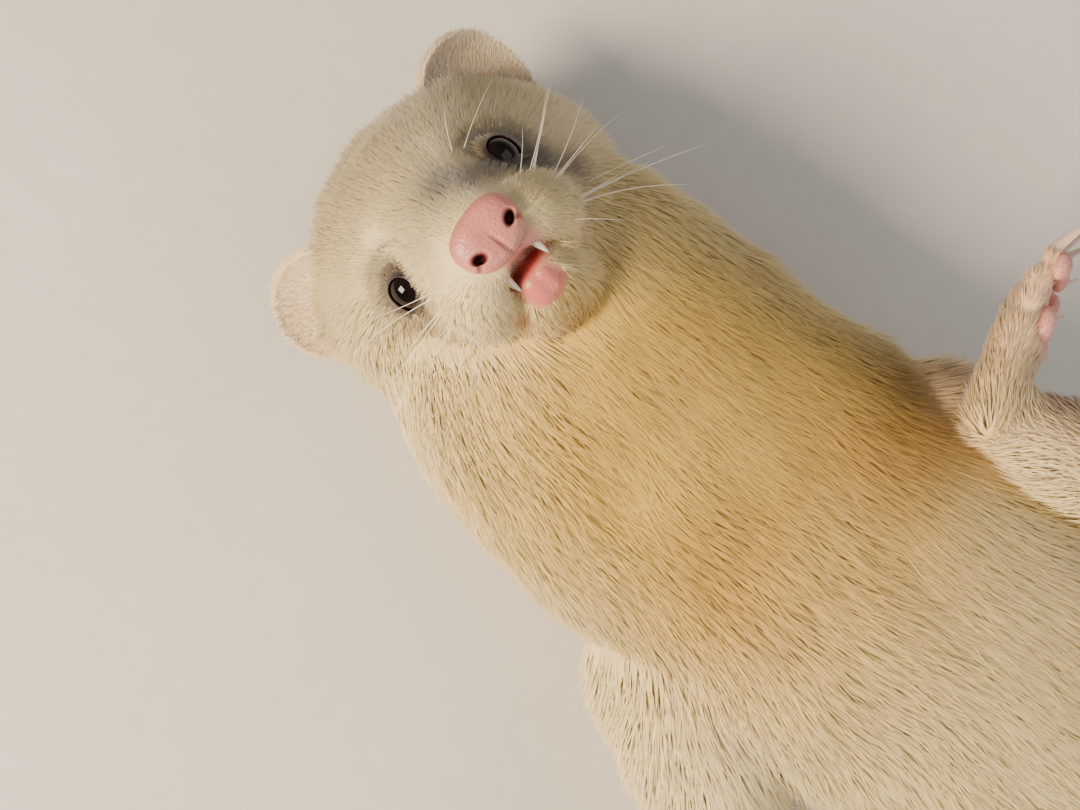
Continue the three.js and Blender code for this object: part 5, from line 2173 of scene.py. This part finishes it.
@dataclass
class Studio:
    """Floor, light and camera."""

    focal_pixels: float = 850.0
    picture_width: float = 1080.0
    tilt: float = math.radians(8)
    roll: float = math.radians(35)
    stand: Triple = (-110.5, -7.5, 179.6)

    def set_up(self, item: Item, axes: Sequence[Array], place: Sequence[float]) -> None:
        """Stands a camera or a lamp in the scene.

        Args:
            item: the camera or lamp.
            axes: the directions of its own three axes.
            place: where it stands, in millimetres.
        """
        matrix = np.eye(4)
        matrix[:3, :3] = np.stack(axes, -1)
        matrix[:3, 3] = np.array(place) * MM
        item.matrix_world = Matrix(matrix.tolist())
        bpy.context.scene.collection.objects.link(item)

    def camera(self) -> None:
        """The camera, close over the head, with the picture's own lens, tilt and roll."""
        view = np.array([math.sin(self.tilt), 0, -math.cos(self.tilt)])
        level = np.array([math.cos(self.tilt), 0, math.sin(self.tilt)])
        side = np.array([0, 1.0, 0])
        right = math.cos(self.roll) * level + math.sin(self.roll) * side
        up = -math.sin(self.roll) * level + math.cos(self.roll) * side
        data = bpy.data.cameras.new("camera")
        data.sensor_width = 36.0
        data.lens = self.focal_pixels / self.picture_width * data.sensor_width
        data.clip_start = 0.005
        camera = bpy.data.objects.new("camera", data)
        self.set_up(camera, (right, up, -view), self.stand)
        bpy.context.scene.camera = camera

    def floor(self) -> None:
        """A wide pale floor."""
        grid = np.stack(np.meshgrid(np.linspace(-4000, 4000, 9), np.linspace(-4000, 4000, 9)), -1)
        points = np.concatenate([grid, np.zeros((9, 9, 1))], -1).reshape(-1, 3)
        item = mesh_object("floor", points, [grid_faces(9, 9, closed=False)])
        item.data.materials.append(FLOOR.material())

    def lamp(self, name: str, place: Sequence[float], size: float, power: float, colour: str) -> None:
        """A square soft light, aimed at the chest.

        Args:
            name: its name.
            place: where it stands.
            size: its edge, in millimetres.
            power: in watts.
            colour: of its light.
        """
        data = bpy.data.lights.new(name, "AREA")
        data.size, data.energy, data.color = size * MM, power, linear(colour)
        lamp = bpy.data.objects.new(name, data)
        away = unit(np.array(place, float) - [-60, 0, 30])
        side = unit(np.cross([0.3, 1, 0.1], away))
        self.set_up(lamp, (side, np.cross(away, side), away), place)

    def build(self) -> None:
        """Sets up the studio."""
        self.camera()
        self.floor()
        self.lamp("key", (-480, -620, 560), 360, 20, "#ffe9cc")
        self.lamp("fill", (300, 700, 800), 900, 3.5, "#f4f1ff")
        self.lamp("rim", (900, -200, 500), 700, 4, "#fff6ea")
        world = bpy.data.worlds.new("studio")
        world.use_nodes = True
        world.node_tree.nodes["Background"].inputs["Color"].default_value = (*linear("#eceae6"), 1)
        world.node_tree.nodes["Background"].inputs["Strength"].default_value = 0.3
        bpy.context.scene.world = world


# Assembly


def flesh_nodes() -> list[str]:
    """The names of the solids that the skin stands for."""
    names = ["head", "lower_jaw", "neck", "chest", "belly", "hips", "tail_base", "tail_middle", "tail_tip"]
    limbs = ("upper_arm", "forearm", "forepaw", "thigh", "shank", "hindpaw")
    return names + [f"{limb}_{side}" for side in ("left", "right") for limb in limbs]


def colour_skin(body: Body, coat: Coat) -> None:
    """Keeps on the skin the colour of the coat with painted shade under the hair and round the eyes, the pink
    of bare places and where it is wet.

    Args:
        body: the skin.
        coat: what grows on it.
    """
    points = coat.points
    face = HEAD.local(points)
    lips = lip_share(face)
    kind = coat.look["kind"]
    palms = palm_share(points, kind, body.paws)
    # The skin is a little darker than the hair over it: painted shade deep in the coat.
    colour = markings(points, kind, body.paws) * 0.9
    colour = mixed(colour, linear("#d48f7f"), 0.85 * near_lips(face))
    # Dark brown skin close round each eye: painted shade of the lids.
    for sign in (1, -1):
        colour = mixed(colour, linear("#54443d"), 0.85 * smoothstep(4.9, 3.8, from_eye(face, sign)))
    colour = mixed(colour, tone(Tone.LIP), lips)
    inside = bump(face - [0, -14.2, 14.0], (5.6, 1.5, 7.5))
    colour = mixed(colour, tone(Tone.GUM), np.clip(2.2 * inside - 0.7, 0, 1))
    colour = mixed(colour, tone(Tone.PAD), palms * 0.85)
    store(body.item, "Tone", colour)
    store(body.item, "Wet", lips)


def grow_coat(coat: Coat) -> None:
    """The whole coat in pieces, finest on the face.

    Args:
        coat: what grows it.
    """
    face = HEAD.local(coat.points)
    names = np.array([part.name for part in coat.body.parts])[coat.look["part"]]
    head = names == "head"
    front = head & (face[:, 2] > -11)
    legs = np.char.startswith(names, "upper") | np.char.startswith(names, "lower")
    feet = np.char.startswith(names, "paw") | np.char.startswith(names, "toe")
    trunk = names == "trunk"
    x, y = coat.points[:, 0], coat.points[:, 1]
    left = face[:, 0] > 0
    fine = Tuft(lift=0.3, gather=0.3, gather_size=1.3, scatter=0.17)
    sleek = Tuft(lift=0.24, gather=0.25, gather_size=1.8, scatter=0.15)
    loose = Tuft(lift=0.26, gather=0.25, gather_size=2.4, scatter=0.16)
    front_half, back_half = trunk & (x < -62), trunk & (x >= -62) & (x < 28)
    regions = (
        Region("coat_face_left", front & left, 0.2, fine, 140_000),
        Region("coat_face_right", front & ~left, 0.2, fine, 140_000),
        Region("coat_crown", head & ~front, 0.4, Tuft(lift=0.26, gather_size=1.6), 90_000),
        Region("coat_neck_left", front_half & (y > 0), 0.31, sleek, 180_000),
        Region("coat_neck_right", front_half & (y <= 0), 0.32, sleek, 168_000),
        Region("coat_chest_left", back_half & (y > 0), 0.47, loose, 150_000),
        Region("coat_chest_right", back_half & (y <= 0), 0.47, loose, 150_000),
        Region("coat_belly", trunk & (x >= 28) & (x < 112), 0.72, loose, 110_000),
        Region("coat_hips", trunk & (x >= 112), 0.72, loose, 95_000),
        Region("coat_legs", legs, 0.68, Tuft(lift=0.26), 156_000),
        Region("coat_feet", feet, 0.46, Tuft(lift=0.24, gather_size=1.2), 60_000),
        Region("coat_tail", names == "tail", 0.7, Tuft(lift=0.34, gather_size=3.0), 50_000),
    )
    for seed, region in enumerate(regions):
        coat.grow(region, seed)


def main() -> None:
    """Builds everything in order."""
    logging.basicConfig(level=logging.INFO, format="%(message)s")
    Studio().build()
    body = Body()
    body.build()
    hair, skin = HAIR.material(), SKIN.material()
    coat = Coat(body, hair)
    colour_skin(body, coat)
    dress(body.item, skin, "skin", *flesh_nodes())
    grow_coat(coat)
    eye, ear = EYE.material(), EAR.material()
    for sign in (1, -1):
        Eye(sign).ball(eye)
        Eye(sign).lids(coat, skin)
        Eye(sign).hair(coat, np.random.default_rng(SEED + 50 + sign))
        Ear(sign).build(ear)
        Ear(sign).fur(coat, np.random.default_rng(SEED + 30 + sign))
    Nose().build(NOSE.material())
    Teeth().build(TOOTH.material())
    Whiskers().build(WHISKER.material())
    claws = [paw.claw(toe) for paw in body.paws for toe in range(TOES)]
    dress(mesh_object("claws", *joined(claws)), CLAW.material(), "claw")
    pads = [pad for paw in body.paws for pad in paw.pads()]
    dress(mesh_object("paw_pads", *joined(pads)), PAD.material(), "paw")


if __name__ == "__main__":
    main()
